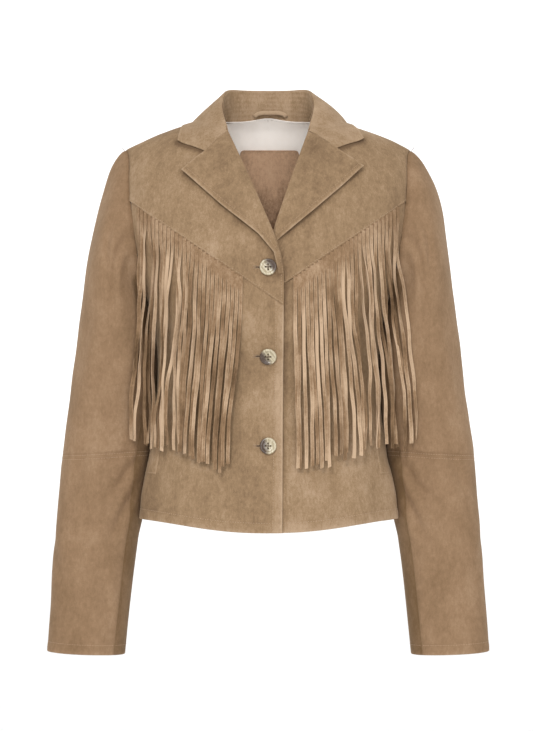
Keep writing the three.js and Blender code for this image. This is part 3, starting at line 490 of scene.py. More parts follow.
def suede(name, dark, middle, light, seed, grain=1.0, mottle=1.0):
    """Goat suede, napped by buffing the flesh side: matt and velvety, in clouds of lighter and darker nap
    about 85, 22 and 8 mm wide, with a grain of 1 mm that is drawn coarser than the real nap of 0.2 mm."""
    material, shader = new_material(
        name,
        Roughness=0.96,
        Specular_IOR_Level=0.12,
        Sheen_Weight=0.22,
        Sheen_Roughness=0.45,
        Sheen_Tint=srgb("#E9D3B8"),
    )
    where = add_node(material, "ShaderNodeTexCoord").outputs["Object"]
    shift = add_node(material, "ShaderNodeMapping", {"Location": (seed, seed * 0.7, -seed)}, Vector=where)
    spot = shift.outputs["Vector"]
    brush = add_node(material, "ShaderNodeMapping", {"Scale": (1.0, 1.0, 0.45)}, Vector=spot)
    brushed = brush.outputs["Vector"]

    def noise(width, detail, rough, at):
        settings = {"Scale": 1000 / width, "Detail": detail, "Roughness": rough}
        return add_node(material, "ShaderNodeTexNoise", settings, Vector=at).outputs["Fac"]

    clouds = noise(85, 2.0, 0.5, spot)
    blotches = noise(22, 4.0, 0.62, brushed)
    flecks = noise(8, 3.0, 0.6, spot)
    nap = noise(2.6, 3.0, 0.6, brushed)
    fibre = noise(1.0, 2.0, 0.6, spot)

    def add(first, second):
        return add_node(material, "ShaderNodeMath", {"operation": "ADD"}, _0=first, _1=second).outputs[0]

    def scaled(value, gain, base, clamp=False):
        settings = {"operation": "MULTIPLY_ADD", "use_clamp": clamp}
        node = add_node(material, "ShaderNodeMath", settings, _0=value)
        node.inputs[1].default_value = gain
        node.inputs[2].default_value = base
        return node.outputs[0]

    def weighed(*parts):
        """The sum of noises, each made to swing about 0 by its gain."""
        total = None
        for noise_value, gain in parts:
            swing = scaled(noise_value, gain, -gain / 2)
            total = swing if total is None else add(swing, total)
        return total

    mottled = ((clouds, 1.1 * mottle), (blotches, 1.25 * mottle), (flecks, 0.7 * mottle))
    mixed = weighed(*mottled, (nap, 0.95 * grain), (fibre, 0.9 * grain))
    tone = add_node(material, "ShaderNodeAttribute", {"attribute_name": "tone"}).outputs["Fac"]
    ramp = add_node(material, "ShaderNodeValToRGB", Fac=scaled(add(mixed, tone), 0.62, 0.5, True))
    stops = ramp.color_ramp.elements
    stops[0].position, stops[0].color = 0.0, srgb(dark)
    stops[1].position, stops[1].color = 1.0, srgb(light)
    centre = stops.new(0.5)
    centre.color = srgb(middle)
    links = material.node_tree.links
    links.new(ramp.outputs["Color"], shader.inputs["Base Color"])
    relief = weighed((nap, 0.8), (fibre, 0.6), (blotches, 1.2))
    bump = add_node(material, "ShaderNodeBump", {"Strength": 0.5, "Distance": 0.0006}, Height=relief)
    links.new(bump.outputs["Normal"], shader.inputs["Normal"])
    return material


body_suede = suede("goat_suede_napped_body", "#6A543F", "#8F765A", "#AD947A", 0.0)


def blend(material, share, first, second):
    """Mixes two colours by a share. Each is a hex code or another node's socket."""
    node = add_node(material, "ShaderNodeMix", {"data_type": "RGBA"}, Factor=share)
    for socket, colour in ((node.inputs[6], first), (node.inputs[7], second)):
        if isinstance(colour, str):
            socket.default_value = srgb(colour)
        else:
            material.node_tree.links.new(colour, socket)
    return node.outputs[2]


def twill(name, low, high, ribs_apart=0.9):
    """Viscose lining, woven in a fine twill and calendered: smooth, with a faint lustre along its ribs, which
    are drawn 0.9 mm apart so that they show."""
    material, shader = new_material(name, Roughness=0.55, Sheen_Weight=0.1)
    where = add_node(material, "ShaderNodeTexCoord").outputs["Object"]
    ribs = add_node(
        material,
        "ShaderNodeTexWave",
        {"Scale": 1000 / ribs_apart / 20, "Distortion": 0.4, "bands_direction": "DIAGONAL"},
        Vector=where,
    ).outputs["Fac"]
    slub = add_node(material, "ShaderNodeTexNoise", {"Scale": 160.0, "Detail": 3.0}, Vector=where)
    links = material.node_tree.links
    links.new(blend(material, slub.outputs["Fac"], low, high), shader.inputs["Base Color"])
    bump = add_node(material, "ShaderNodeBump", {"Strength": 0.2, "Distance": 0.0002}, Height=ribs)
    links.new(bump.outputs["Normal"], shader.inputs["Normal"])
    return material


lining_cloth = twill("viscose_twill_lining", "#F9F1E9", "#FEF8F2")
LINED_BODY = [body_suede, lining_cloth]


def side_grid(face, angle, height, side):
    """Points of a face of the body, from its middle to the wearer's right or left."""
    points = body_point(face, angle, height)
    points[..., 0] *= SIDES[side]
    return points


def lap_lift(side, x):
    """How far the over front is lifted off the under one where they lap."""
    return LAP_LIFT * (1 - ease((x - 24) / 46)) if side == "right" else np.zeros_like(x)


def line_run(line):
    """How far along a line each of its points lies."""
    return np.concatenate([[0], np.cumsum(np.linalg.norm(np.diff(line, axis=0), axis=1))])


def read_line(at, run, line):
    """The values of a line's three columns at places along its run."""
    return np.stack([np.interp(at, run, line[:, k]) for k in range(3)], -1)


def seam_line(points, normals, distance, at, lengthwise):
    """The line on a grid that runs at a distance from one of its edges, with the cloth's normals there."""
    if not lengthwise:
        points, normals, distance = (np.swapaxes(q, 0, 1) for q in (points, normals, distance))
    places, ways = [], []
    for spots, way, far in zip(points, normals, distance):
        order = np.argsort(far)
        if far[order[-1]] < at:
            continue
        places.append([np.interp(at, far[order], spots[order, k]) for k in range(3)])
        ways.append([np.interp(at, far[order], way[order, k]) for k in range(3)])
    return np.array(places), np.array(ways)


def stitch_rows(name, lines, material, pitch=3.3, radius=0.4, fill=0.72):
    """Lockstitching: short slubs of thread along each line, sunk into the cloth at both ends."""
    rings = [(0.0, 0.35, -0.45), (0.25, 1.0, 0.12), (0.75, 1.0, 0.12), (1.0, 0.35, -0.45)]
    corners = np.radians([90, 210, 330])
    verts, faces = [], []
    for places, ways in lines:
        run = line_run(places)
        starts = np.arange(pitch / 2, run[-1] - pitch, pitch)
        heads, tails = read_line(starts, run, places), read_line(starts + pitch * fill, run, places)
        ups = read_line(starts + pitch / 2, run, ways)
        ups /= np.linalg.norm(ups, axis=1, keepdims=True) + 1e-9
        along = tails - heads
        across = np.cross(along, ups)
        across /= np.linalg.norm(across, axis=1, keepdims=True) + 1e-9
        for head, step, up, wide in zip(heads, along, ups, across):
            faces += tube_faces(len(verts), len(rings), len(corners))
            for share, size, rise in rings:
                middle = head + step * share + up * rise * radius
                for corner in corners:
                    verts.append(middle + radius * size * (np.cos(corner) * wide + np.sin(corner) * up))
    piece = make_object(name, np.array(verts) * MM, faces, [material])
    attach(piece, "root")
    return piece


# Spun polyester sewing thread in the suede's own colour: a soft line, a little smoother than the nap.
thread, _ = new_material(
    "spun_polyester_thread", Base_Color=srgb("#A88D70"), Roughness=0.7, Sheen_Weight=0.2
)

FRONT_FOLDS = [  # x from the middle, height, slant, length, width, depth
    (118, -385, 14, 80, 14, 2.2),
    (92, -478, -30, 60, 16, 1.6),
    (70, -468, 66, 70, 12, 1.1),
    (30, -350, 84, 40, 9, 0.7),
    (36, -410, 78, 44, 8, 0.9),
    (52, -300, 70, 46, 10, 0.8),
]
FRONT_SIZE = (215, 330)
SEAM_SHARE = 10 / 14  # the share of a front's top edge that is the yoke seam; the rest is armhole
EDGE_STITCHES = (4.0, 11.8)
LAP_FROM, LAP_LEAN = 215, 1.9  # where the lap starts below the neck, and how much narrower it is at the hem
HEM_SWELL = {"right": 3.0, "left": 6.5}
HEM_STITCH = 12.5


def front_relief(points, angle, side):
    """The fronts' folds and soft unevenness, and the corner that swells out over the sleeve."""
    own_x = points[..., 0] * SIDES[side]
    rise = lap_lift(side, own_x) + 0.8 * drift(points, 95, 11) + 0.25 * drift(points, 30, 12)
    rise = folded(rise, FRONT_FOLDS, own_x, points[..., 2])
    low = ease((-250 - points[..., 2]) / 60)
    swell = 2.5 + HEM_SWELL[side] * ease((-430 - points[..., 2]) / 60)
    return rise + swell * low * near(angle - 74, 11)


def lap_at(z):
    """How far the over front's edge reaches past the centre line, a little less towards the hem."""
    return LAP - LAP_LEAN * (-LAP_FROM - z) / (-LAP_FROM - HEM_Z)


def front_grid():
    """Angles and heights of a front, from its edge to the side seam and from the hem up."""
    hem = HEM_Z - HEM_DIP["front"]
    start = place_at("front", -lap_at(HEM_Z), hem)[0]

    def top(a):
        seam = yoke_seam(np.minimum(1, a / SEAM_SHARE))
        t = np.clip((a - SEAM_SHARE) / (1 - SEAM_SHARE), 0, 1)
        height = YOKE_END[1] * (1 - np.sin(np.pi / 2 * t))
        past = a > SEAM_SHARE
        return np.where(past, armhole_angle("front", height), seam[0]), np.where(past, height, seam[1])

    def bottom(a):
        return lerp(start, 90, a), np.full_like(a, -1.0)

    def left(b):
        z = lerp(hem, yoke_height(-LAP), b)
        return place_at("front", -lap_at(z), z)

    def right(b):
        return np.full_like(b, 90.0), lerp(-1.0, 0.0, b)

    return fill_between(*map(steps, FRONT_SIZE), bottom, top, left, right)


front_pieces = {}
front_lines = []
for side in SIDES:
    angle, height = front_grid()
    points = side_grid("front", angle, height, side)
    normals, edges = measured(points)
    rise = front_relief(points, angle, side)
    rise += seam_dip(edges["right"], 0.4, 1.6) + seam_dip(edges["top"], 0.4, 1.4)
    if side == "right":
        for at in EDGE_STITCHES:
            rise += stitched(edges["left"], at, edges["bottom"], at)
        rise += 0.5 * near(edges["left"] - 7, 3.4)
    rise += stitched(edges["bottom"], HEM_STITCH, edges["left"], 3)
    rise += 0.5 * near(edges["bottom"] - 6, 4.5)
    tone = 0.35 * near(edges["bottom"], 3) + 0.12 * ease((HEM_STITCH - edges["bottom"]) / 3)
    tone += (0.22 if side == "left" else -0.1) * ease((-380 - points[..., 2]) / 80)
    if side == "right":
        tone += 0.4 * ease((12 - edges["left"]) / 3) + 0.5 * near(edges["left"], 2.2)
    else:
        # Painted shadow: a narrow band just past the over front's edge is drawn darker, where that edge
        # shades the under front.
        past_edge = points[..., 0] - lap_at(points[..., 2])
        tone -= 0.6 * near(past_edge - 1, 3)
    tone -= 0.2 * near(edges["right"], 4)
    lined = (edges["bottom"] > HEM_ALLOWANCE) & (edges["left"] > FACING)
    sewn = ("top", "right")
    front_pieces[side], face = cloth(
        "front_" + side, points, normals, rise, SUEDE, LINED_BODY, tone, lined, sewn
    )
    front_lines.append(seam_line(face, normals, edges["bottom"], HEM_STITCH, False))
    if side == "right":
        front_lines += [seam_line(face, normals, edges["left"], at, True) for at in EDGE_STITCHES]
front_stitching = stitch_rows("front_stitching", front_lines, thread)


# ---------------------------------------------------------------------------------------------------------
# The front yokes: the same suede, cut to a slanting point over each front. Each laps the seam by a turned
# edge and is topstitched close along it; the top edges join the backs at the shoulders.
YOKE_SIZE = (190, 230)
YOKE_EDGE_SHARE = 0.88  # the share of a yoke's inner edge that runs up the front; the rest is neck
FRONT_EDGE = {  # distance from the centre line, and height
    "right": [(-LAP, -198), (-17.8, -184), (-13, -168), (-6, -148), (16, -97), (38, -47), (51, -18)],
    "left": [(-LAP, -215), (-14, -196), (-1, -168), (6, -148), (23, -97), (40.5, -47), (51, -18)],
}
YOKE_STITCH = 2.4


def along(rows, share):
    """Places on a line of (x, z) points at shares of its length."""
    rows = np.asarray(rows, float)
    run = line_run(rows)
    at = np.clip(share, 0, 1) * run[-1]
    return np.interp(at, run, rows[:, 0]), np.interp(at, run, rows[:, 1])


def yoke_grid(side):
    """Angles and heights of a yoke, from the front and neck to the armhole and from its seam up."""
    line = [(-LAP, yoke_height(-LAP))] + FRONT_EDGE[side]
    top = place_at("front", NECK_HALF, 200)[0]
    neck = place_at("front", *line[-1])

    def left(b):
        low = place_at("front", *along(line, b / YOKE_EDGE_SHARE))
        t = np.clip((b - YOKE_EDGE_SHARE) / (1 - YOKE_EDGE_SHARE), 0, 1)
        past = b > YOKE_EDGE_SHARE
        high = lerp(neck[1], 1, ease(t * 0.5 + 0.5) * 2 - 1)
        return np.where(past, lerp(neck[0], top, t), low[0]), np.where(past, high, low[1])

    def right(b):
        height = lerp(YOKE_END[1], 1, b)
        return armhole_angle("front", height), height

    def shoulder(a):
        return lerp(top, 90, a), np.ones_like(a)

    return fill_between(*map(steps, YOKE_SIZE), yoke_seam, shoulder, left, right)


YOKE_FOLDS = [  # distance from the centre line, height, slant, length, width, depth
    (128, -92, 30, 40, 12, 1.0),
    (146, -66, 12, 46, 9, 0.9),
    (96, -120, 52, 44, 14, 0.7),
]
yoke_pieces = {}
yoke_lines = []
for side in SIDES:
    points = side_grid("front", *yoke_grid(side), side)
    normals, edges = measured(points)
    own_x = points[..., 0] * SIDES[side]
    rise = lap_lift(side, own_x) + 0.7 * drift(points, 80, 21) + 0.2 * drift(points, 28, 22)
    rise += seam_dip(edges["right"], 0.7, 2.2) + seam_dip(edges["top"], 0.6, 2.0)
    over_fringe = ease((own_x - 26) / 12)
    rise += (0.3 + 1.3 * over_fringe) * near(edges["bottom"], 7)
    rise += stitched(edges["bottom"], YOKE_STITCH, edges["left"], 5, 0.35)
    rise = folded(rise, YOKE_FOLDS, own_x, points[..., 2])
    tone = 0.12 * near(edges["bottom"], 4) - 0.25 * near(edges["right"], 4)
    lined = edges["left"] > FACING
    sewn = ("top", "right")
    yoke_pieces[side], face = cloth(
        "front_yoke_" + side, points, normals, rise, SUEDE, LINED_BODY, tone, lined, sewn
    )
    yoke_lines.append(seam_line(face, normals, edges["bottom"], YOKE_STITCH, False))
    if side == "right":
        places, ways = seam_line(face, normals, edges["left"], EDGE_STITCHES[0], True)
        below_lapel = places[:, 2] < -200
        yoke_lines.append((places[below_lapel], ways[below_lapel]))
yoke_stitching = stitch_rows("yoke_stitching", yoke_lines, thread)


# ---------------------------------------------------------------------------------------------------------
# The backs: two panels of the same suede joined down the middle, from the nape to the hem. The seam is
# pressed open and topstitched on both sides, and the cloth eases into soft folds above the waist.
BACK_SIZE = (230, 590)
NAPE_HEIGHT = 0.687
BACK_FOLDS = [  # distance from the middle, height, slant, length, width, depth
    (104, -352, 24, 90, 15, 2.6),
    (50, -392, 8, 70, 16, 1.8),
    (118, -180, -38, 70, 15, 2.2),
    (70, -318, 62, 60, 12, 1.5),
    (84, -300, 80, 50, 10, 1.2),
    (126, -262, -30, 50, 10, 1.6),
    (40, -120, 20, 50, 14, 0.8),
]
BACK_STITCH = 5.0


def back_top(angle):
    """How high the back's top edge lies: lowest at the nape, and at the shoulder seam past the neck."""
    x = SHOULDER_TIP * np.sin(np.radians(np.abs(angle))) ** (2 / ROUND)
    return lerp(NAPE_HEIGHT, 1, np.minimum(1, x / NECK_HALF) ** 2.2)


def back_places(a, b):
    """Angle and height on the back, from its middle to the armhole and from the hem to the top."""
    angle = a * armhole_angle("back", 2 * b - 1)
    return angle, -1 + b * (1 + back_top(angle))


back_pieces = {}
back_lines = []
for side in SIDES:
    grid_a, grid_b = np.meshgrid(*map(steps, BACK_SIZE))
    points = side_grid("back", *back_places(grid_a, grid_b), side)
    normals, edges = measured(points)
    own_x = points[..., 0] * SIDES[side]
    rise = 0.9 * drift(points, 100, 31) + 0.25 * drift(points, 32, 32)
    sides = seam_dip(edges["right"], 0.6) + seam_dip(edges["top"], 0.6, 2.0)
    rise += sides + seam_dip(edges["left"], 0.7, 1.6)
    rise += stitched(edges["left"], BACK_STITCH, edges["bottom"], 7)
    rise += stitched(edges["bottom"], HEM_STITCH, edges["left"], 8)
    rise += 0.5 * near(edges["bottom"] - 6, 4.5)
    rise = folded(rise, BACK_FOLDS, own_x, points[..., 2])
    tone = 0.28 * near(edges["bottom"], 3) - 0.35 * near(edges["right"], 4)
    tone -= 0.3 * near(edges["left"], 2)
    lined = edges["bottom"] > HEM_ALLOWANCE
    sewn = ("left", "top", "right")
    back_pieces[side], face = cloth(
        "back_" + side, points, normals, rise, SUEDE, LINED_BODY, tone, lined, sewn
    )
    back_lines.append(seam_line(face, normals, edges["left"], BACK_STITCH, True))
    back_lines.append(seam_line(face, normals, edges["bottom"], HEM_STITCH, False))
back_stitching = stitch_rows("back_stitching", back_lines, thread)


# ---------------------------------------------------------------------------------------------------------
# The sleeves: each a top and an under piece of slightly darker skins, cut again at the elbow. The elbow seam
# is stitched twice along its lower side, and the sleeve head is eased into the armhole.
SLEEVE = [  # height, middle's x and y, half breadth across and fore-and-aft
    (-688, 235, -24, 50.5, 36),
    (-621, 229.5, -18, 51.5, 38),
    (-569, 225, -13, 53, 40),
    (-515, 219.6, -8, 54.5, 43),
    (-470, 215.6, -4, 55, 45),
    (-424, 210, 0, 56, 47),
    (-361, 202.2, 3, 56.1, 51),
    (-300, 197.8, 4, 52.7, 56),
    (-250, 199, 4, 44.8, 60),
]
SLEEVE_TOP_Z, CUFF_Z, CUFF_TILT = -250, -684, 4
SLEEVE_ROUND = 2.15
SLEEVE_LENGTH = {"upper": 330, "fore": 262}
FRONT_SEAM, HIND_SEAM = 136, 240  # degrees round the sleeve from its outer side, over the front
ELBOW_STITCHES = (2.4, 7.4)
sleeve_row = smooth_table(SLEEVE)
sleeve_suede = suede("goat_suede_napped_sleeves", "#685138", "#8B7056", "#A78D72", 3.7, 0.7, 0.75)


def armhole_line(face):
    """The armhole's edge on one face, from the shoulder tip down to the armpit."""
    widest = ARMHOLE[face][1]
    t = np.arange(61) / 60
    upper = 1 - (1 - widest) * (1 - np.cos(np.pi / 2 * 2 * t))
    lower = widest * (1 - np.sin(np.pi / 2 * (2 * t - 1)))
    height = np.maximum(0, np.where(t <= 0.5, upper, lower))
    return body_point(face, armhole_angle(face, height), height)


armhole_lines = {face: armhole_line(face) for face in ("front", "back")}


def armhole_edge(around):
    """The point of the armhole that a sleeve's head meets at an angle round the sleeve."""
    turn = np.mod(around, 360)
    down = np.where(turn <= 180, turn, 360 - turn) / 180
    result = {}
    for face, line in armhole_lines.items():
        run = line_run(line)
        result[face] = read_line(down * run[-1], run, line)
    return np.where((turn <= 180)[..., None], result["front"], result["back"])


def sleeve_ring(around, z):
    """Points of the sleeve's tube at angles round it and heights."""
    def squared(c):
        return np.sign(c) * np.abs(c) ** (2 / SLEEVE_ROUND)

    row = sleeve_row(z)
    turn = np.radians(around)
    x = row[..., 0] + row[..., 2] * squared(np.cos(turn))
    y = row[..., 1] - row[..., 3] * squared(np.sin(turn))
    return np.stack([x, y, np.broadcast_to(z, x.shape)], -1)


def sleeve_point(around, down):
    """A point of the wearer's left sleeve: down is 0 at the armhole, 1 at the upper ring, 2 at the cuff."""
    cuff = CUFF_Z - CUFF_TILT * (1 - np.cos(np.radians(around))) / 2
    tube = sleeve_ring(around, lerp(SLEEVE_TOP_Z, cuff, np.maximum(0, down - 1)))
    start = armhole_edge(around)
    level = np.full_like(around, float(SLEEVE_TOP_Z))
    end = sleeve_ring(around, level)
    chord = np.linalg.norm(start - end, axis=-1)[..., None]
    turn = np.radians(around)
    top = np.maximum(0, np.cos(turn))
    away = np.stack([np.ones_like(turn), -0.12 * np.sin(turn), -0.75 * top - 0.1 * (1 - top)], -1)
    away /= np.linalg.norm(away, axis=-1, keepdims=True)
    below = sleeve_ring(around, level - 8) - end
    below /= np.linalg.norm(below, axis=-1, keepdims=True)
    t = np.clip(down, 0, 1)[..., None]
    top = top[..., None]
    head = start * (2 * t**3 - 3 * t**2 + 1) + end * (3 * t**2 - 2 * t**3)
    head = head + away * (t**3 - 2 * t**2 + t) * chord * lerp(0.95, 0.65, top)
    head = head + below * (t**3 - t**2) * chord * lerp(1, 0.85, top)
    return np.where((down >= 1)[..., None], tube, head)


def elbow_down(around):
    """How far down the sleeve, from 1 at the upper ring to 2 at the cuff, its elbow seam lies."""
    z = -427 - 4 * np.cos(np.radians(around))
    return 1 + (SLEEVE_TOP_Z - z) / (SLEEVE_TOP_Z - CUFF_Z)


SLEEVE_FOLDS = [  # degrees round the sleeve, height, slant, length, width, depth
    (118, -468, 30, 66, 7, 4.6),
    (126, -506, 20, 60, 7, 4.0),
    (62, -446, 16, 50, 8, 2.2),
    (100, -436, 66, 40, 6, 3.0),
    (92, -492, 34, 44, 9, 2.4),
    (-100, -452, -30, 58, 8, 3.0),
    (-80, -480, -46, 50, 7, 2.4),
    (96, -190, 6, 78, 5, 3.6),
    (76, -170, -10, 60, 7, 2.8),
    (-86, -206, -20, 74, 8, 2.8),
    (24, -560, -40, 60, 10, 1.2),
    (84, -330, 18, 70, 8, 1.8),
    (-64, -350, -24, 66, 9, 2.0),
    (40, -300, 8, 90, 12, 1.4),
    (108, -600, -14, 70, 7, 2.0),
    (56, -390, -50, 44, 8, 1.2),
]
SHOULDER_SWELL = {"right": -1.2, "left": 4.6}  # how far the sleeve heads stand out over the form
SLEEVE_PARTS = {  # angles round the sleeve, upper part or forearm, flat breadth and length, flat area
    "sleeve_upper_top": ((FRONT_SEAM, HIND_SEAM - 360), True, (0.27, 0.46), 0.081),
    "sleeve_upper_under": ((FRONT_SEAM, HIND_SEAM), True, (0.12, 0.26), 0.0225),
    "sleeve_fore_top": ((FRONT_SEAM, HIND_SEAM - 360), False, (0.25, 0.27), 0.062),
    "sleeve_fore_under": ((FRONT_SEAM, HIND_SEAM), False, (0.11, 0.27), 0.0235),
}
sleeve_lines = []
for side in SIDES:
    seed = 40 if side == "right" else 60
    for part, (span, upper, flat, area) in SLEEVE_PARTS.items():
        width = abs(span[1] - span[0]) * 0.92
        length = SLEEVE_LENGTH["upper" if upper else "fore"]
        grid_a, grid_b = np.meshgrid(steps(width), steps(length))
        around = lerp(span[0], span[1], grid_a)
        bend = elbow_down(around)
        down = lerp(bend, 0, grid_b) if upper else lerp(2, bend, grid_b)
        points = sleeve_point(around, down)
        if upper:
            points[..., 0] += 0.4 * (1 - ease(down))
        points[..., 0] *= SIDES[side]
        normals, edges = measured(points, (SIDES[side] * 208, 0, -330 if upper else -560))
        rise = 0.9 * drift(points, 90, seed + 1) + 0.3 * drift(points, 34, seed + 2)
        rise += seam_dip(edges["left"], 0.5, 1.8) + seam_dip(edges["right"], 0.5, 1.8)
        for place, z, *shape in SLEEVE_FOLDS:
            turn = np.mod(around - place + 180, 360) - 180
            rise += fold(np.radians(turn) * 50, points[..., 2] - z, *shape)
        tone = -0.15 * near(edges["left"], 3) - 0.15 * near(edges["right"], 3)
        if "under" in part:
            tone -= 0.5
        if upper:
            level = near(points[..., 2] + 108, 46) * ease(edges["top"] / 25)
            rise += SHOULDER_SWELL[side] * level * np.maximum(0, np.cos(np.radians(around)))
            rise += seam_dip(edges["top"], 0.9, 2.6) + seam_dip(edges["bottom"], 0.3, 1.3)
            ease_in = np.sin(edges["left"] / 4.3 + 1.5 * np.sin(edges["left"] / 19 + seed))
            rise += 0.18 * ease_in * near(edges["top"], 14)
            tone -= 0.25 * near(edges["top"], 4)
        else:
            tone -= 0.12
            for at in ELBOW_STITCHES:
                rise += stitched(edges["top"], at, edges["left"], at)
            rise += stitched(edges["bottom"], HEM_STITCH, edges["left"], 9)
            rise += 0.4 * near(edges["bottom"] - 6, 4.5)
            tone += 0.28 * near(edges["bottom"], 3)
        # Where sleeve and body touch, the folds may not carry one into the other.
        inner = np.clip((-np.cos(np.radians(around)) - 0.5) / 0.5, 0, 1)
        beside_body = inner * ease((points[..., 2] + 540) / 30) * ease((-205 - points[..., 2]) / 30)
        armpit = 1.4 * near(points[..., 2] + 241, 22)
        rise = rise * (1 - 0.8 * inner) + (2.4 + armpit) * beside_body
        lined = np.ones_like(rise, bool) if upper else edges["bottom"] > HEM_ALLOWANCE
        cloths = [sleeve_suede, lining_cloth]
        sewn = ("left", "right", "top") + (("bottom",) if upper else ())
        piece, face = cloth(part + "_" + side, points, normals, rise, SUEDE, cloths, tone, lined, sewn)
        if not upper:
            sleeve_lines += [seam_line(face, normals, edges["top"], at, False) for at in ELBOW_STITCHES]
            sleeve_lines.append(seam_line(face, normals, edges["bottom"], HEM_STITCH, False))
sleeve_stitching = stitch_rows("sleeve_stitching", sleeve_lines, thread)


# ---------------------------------------------------------------------------------------------------------
# The lapels: front facing and front sewn face to face and turned out, so two layers thick. Each is rolled
# softly along the break line, lies on the yoke and is edge-stitched.
LAPEL = {  # distance from the centre line, and height
    "right": {
        "roll": [(51, -18), (16, -97), (-6, -148), (-16.2, -178), (-19.2, -202)],
        "edge": [(108, -71), (57, -116.5), (12, -153.5), (-7, -176), (-13, -202)],
        "notch": (79, -45),
        "tip": (115, -31),
    },
    "left": {
        "roll": [(51, -18), (32.5, -70), (20, -106), (9, -139), (7, -153)],
        "edge": [(119, -66), (90, -93), (57, -122), (26, -148), (8, -163)],
        "notch": (86, -41),
        "tip": (122, -28),
    },
}
LAPEL_SIZE = (100, 185)
LAPEL_SUEDE = 2.4
LOW_END = {"right": 0.14, "left": 0.09}  # the share of its length over which a lapel sinks into its front
LAPEL_STITCH = 6.0


def on_front(side, x, z, lift):
    """Points seen at (x, z) on a front, moved out from its face, on the garment's own left."""
    angle, height = place_at("front", x, z)
    middle = body_point("front", angle, height)
    beside = body_point("front", angle + 0.4, height) - middle
    above = body_point("front", angle, np.minimum(1, height + 0.004)) - middle
    out = np.cross(beside, above)
    out /= np.linalg.norm(out, axis=-1, keepdims=True) + 1e-9
    out = np.where(out[..., 1:2] > 0, -out, out)
    return middle + out * (lift + lap_lift(side, np.asarray(x, float)))[..., None]


def lapel_seen(side, q, p):
    """Where the lapel's point is seen: q runs from its roll to its edge, p from the gorge down."""
    corners = LAPEL[side]
    start, end = along(corners["roll"], p), along(corners["edge"], p)
    share = np.where(q < 0.5, q / 0.5, (1 - q) / 0.5)
    fade = np.maximum(0, 1 - p / 0.3) ** 2 * share
    seen = []
    for k in (0, 1):
        half = lerp(start[k], end[k], 0.5)
        seen.append(lerp(start[k], end[k], q) + (corners["notch"][k] - half) * fade)
    return seen


def shade_under(side, line, depth, reach=4.5):
    """Darkens a yoke's nap along the line where the cloth that lies on it lifts off and shades it."""
    mesh = yoke_pieces[side].data
    at = np.empty(3 * len(mesh.vertices), np.float32)
    mesh.vertices.foreach_get("co", at)
    at = at.reshape(-1, 3) / MM
    marks = np.stack(along(line, np.linspace(0, 1, 80)), -1)
    away = np.hypot(at[:, :1] * SIDES[side] - marks[:, 0], at[:, 2:] - marks[:, 1]).min(axis=1)
    layer = mesh.attributes["tone"].data
    tone = np.empty(len(layer), np.float32)
    layer.foreach_get("value", tone)
    layer.foreach_set("value", tone - depth * near(away, reach))


lapel_pieces = {}
lapel_lines = []
for side in SIDES:
    shade_under(side, LAPEL[side]["edge"], 0.5)
    shade_under(side, [LAPEL[side]["tip"], LAPEL[side]["notch"]], 1.0)
    if side == "left":
        over_edge = [(-LAP, -LAP_FROM)] + FRONT_EDGE["right"][:4]
        shade_under(side, [(-x, z) for x, z in over_edge], 0.5, 3.0)
    q, p = np.meshgrid(steps(LAPEL_SIZE[0], 2.2), steps(LAPEL_SIZE[1], 2.4))
    x, z = lapel_seen(side, q, p)
    points = on_front(side, x, z, np.zeros_like(x))
    points[..., 0] *= SIDES[side]
    normals, edges = measured(points)
    low_end = ease((1 - p) / LOW_END[side])
    rise = 0.3 + 2.6 * (1 - q) ** 1.5 * ease(q * 5)
    wave = np.sin(p * 13 + 1.2 * np.sin(p * 7)) * (1 - p)
    edge_lift = ease((q - 0.5) / 0.5) * (3.2 + 0.8 * wave)
    tip_lift = 1.8 * ease((0.2 - p) / 0.2) * ease((q - 0.4) / 0.3)
    rise += (edge_lift + tip_lift) * low_end + 0.35 * drift(points, 60, 71)
    rise += stitched(edges["right"], LAPEL_STITCH, edges["bottom"], 2, 0.2)
    # Painted highlight: the outer edge and the top edge past the notch are drawn lighter, where their rounded
    # edges catch the light.
    tone = -0.15 + 0.6 * near(edges["right"], 2.2) * low_end
    tone += 0.4 * near(edges["bottom"], 2.2) * ease((q - 0.45) / 0.1)
    tone += 0.12 * near(edges["left"], 6)
    outer = (rise + LAPEL_SUEDE) * lerp(0.12, 1, low_end)
    lapel_pieces[side], face = cloth(
        "lapel_" + side, points, normals, outer, LAPEL_SUEDE, [body_suede], tone
    )
    lapel_lines.append(seam_line(face, normals, edges["right"], LAPEL_STITCH, True))
lapel_stitching = stitch_rows("lapel_stitching", lapel_lines, thread, radius=0.26)


# ---------------------------------------------------------------------------------------------------------
# The collar and its stand: a leaf of two layers that falls outside from the roll to its stitched edge, and
# a stand of one layer that rises inside from the neck seam, channel-stitched in close rows.
COLLAR_SIZE, STAND_SIZE = (330, 75), (280, 40)
COLLAR_ROLL = [(0, 57, 47), (29, 54, 47), (51, 36, 45.5), (59, 10, 37), (61, -14, 19)]
COLLAR_EDGE = [(0, 82, -13), (44, 77, -14), (86, 55, -15), (107, 22, -10), (111, -12, -14)]
COLLAR_STITCH = 6.0
COLLAR_SUEDE = 2.3
COLLAR_SWELL = {"right": 0.35, "left": 1.0}


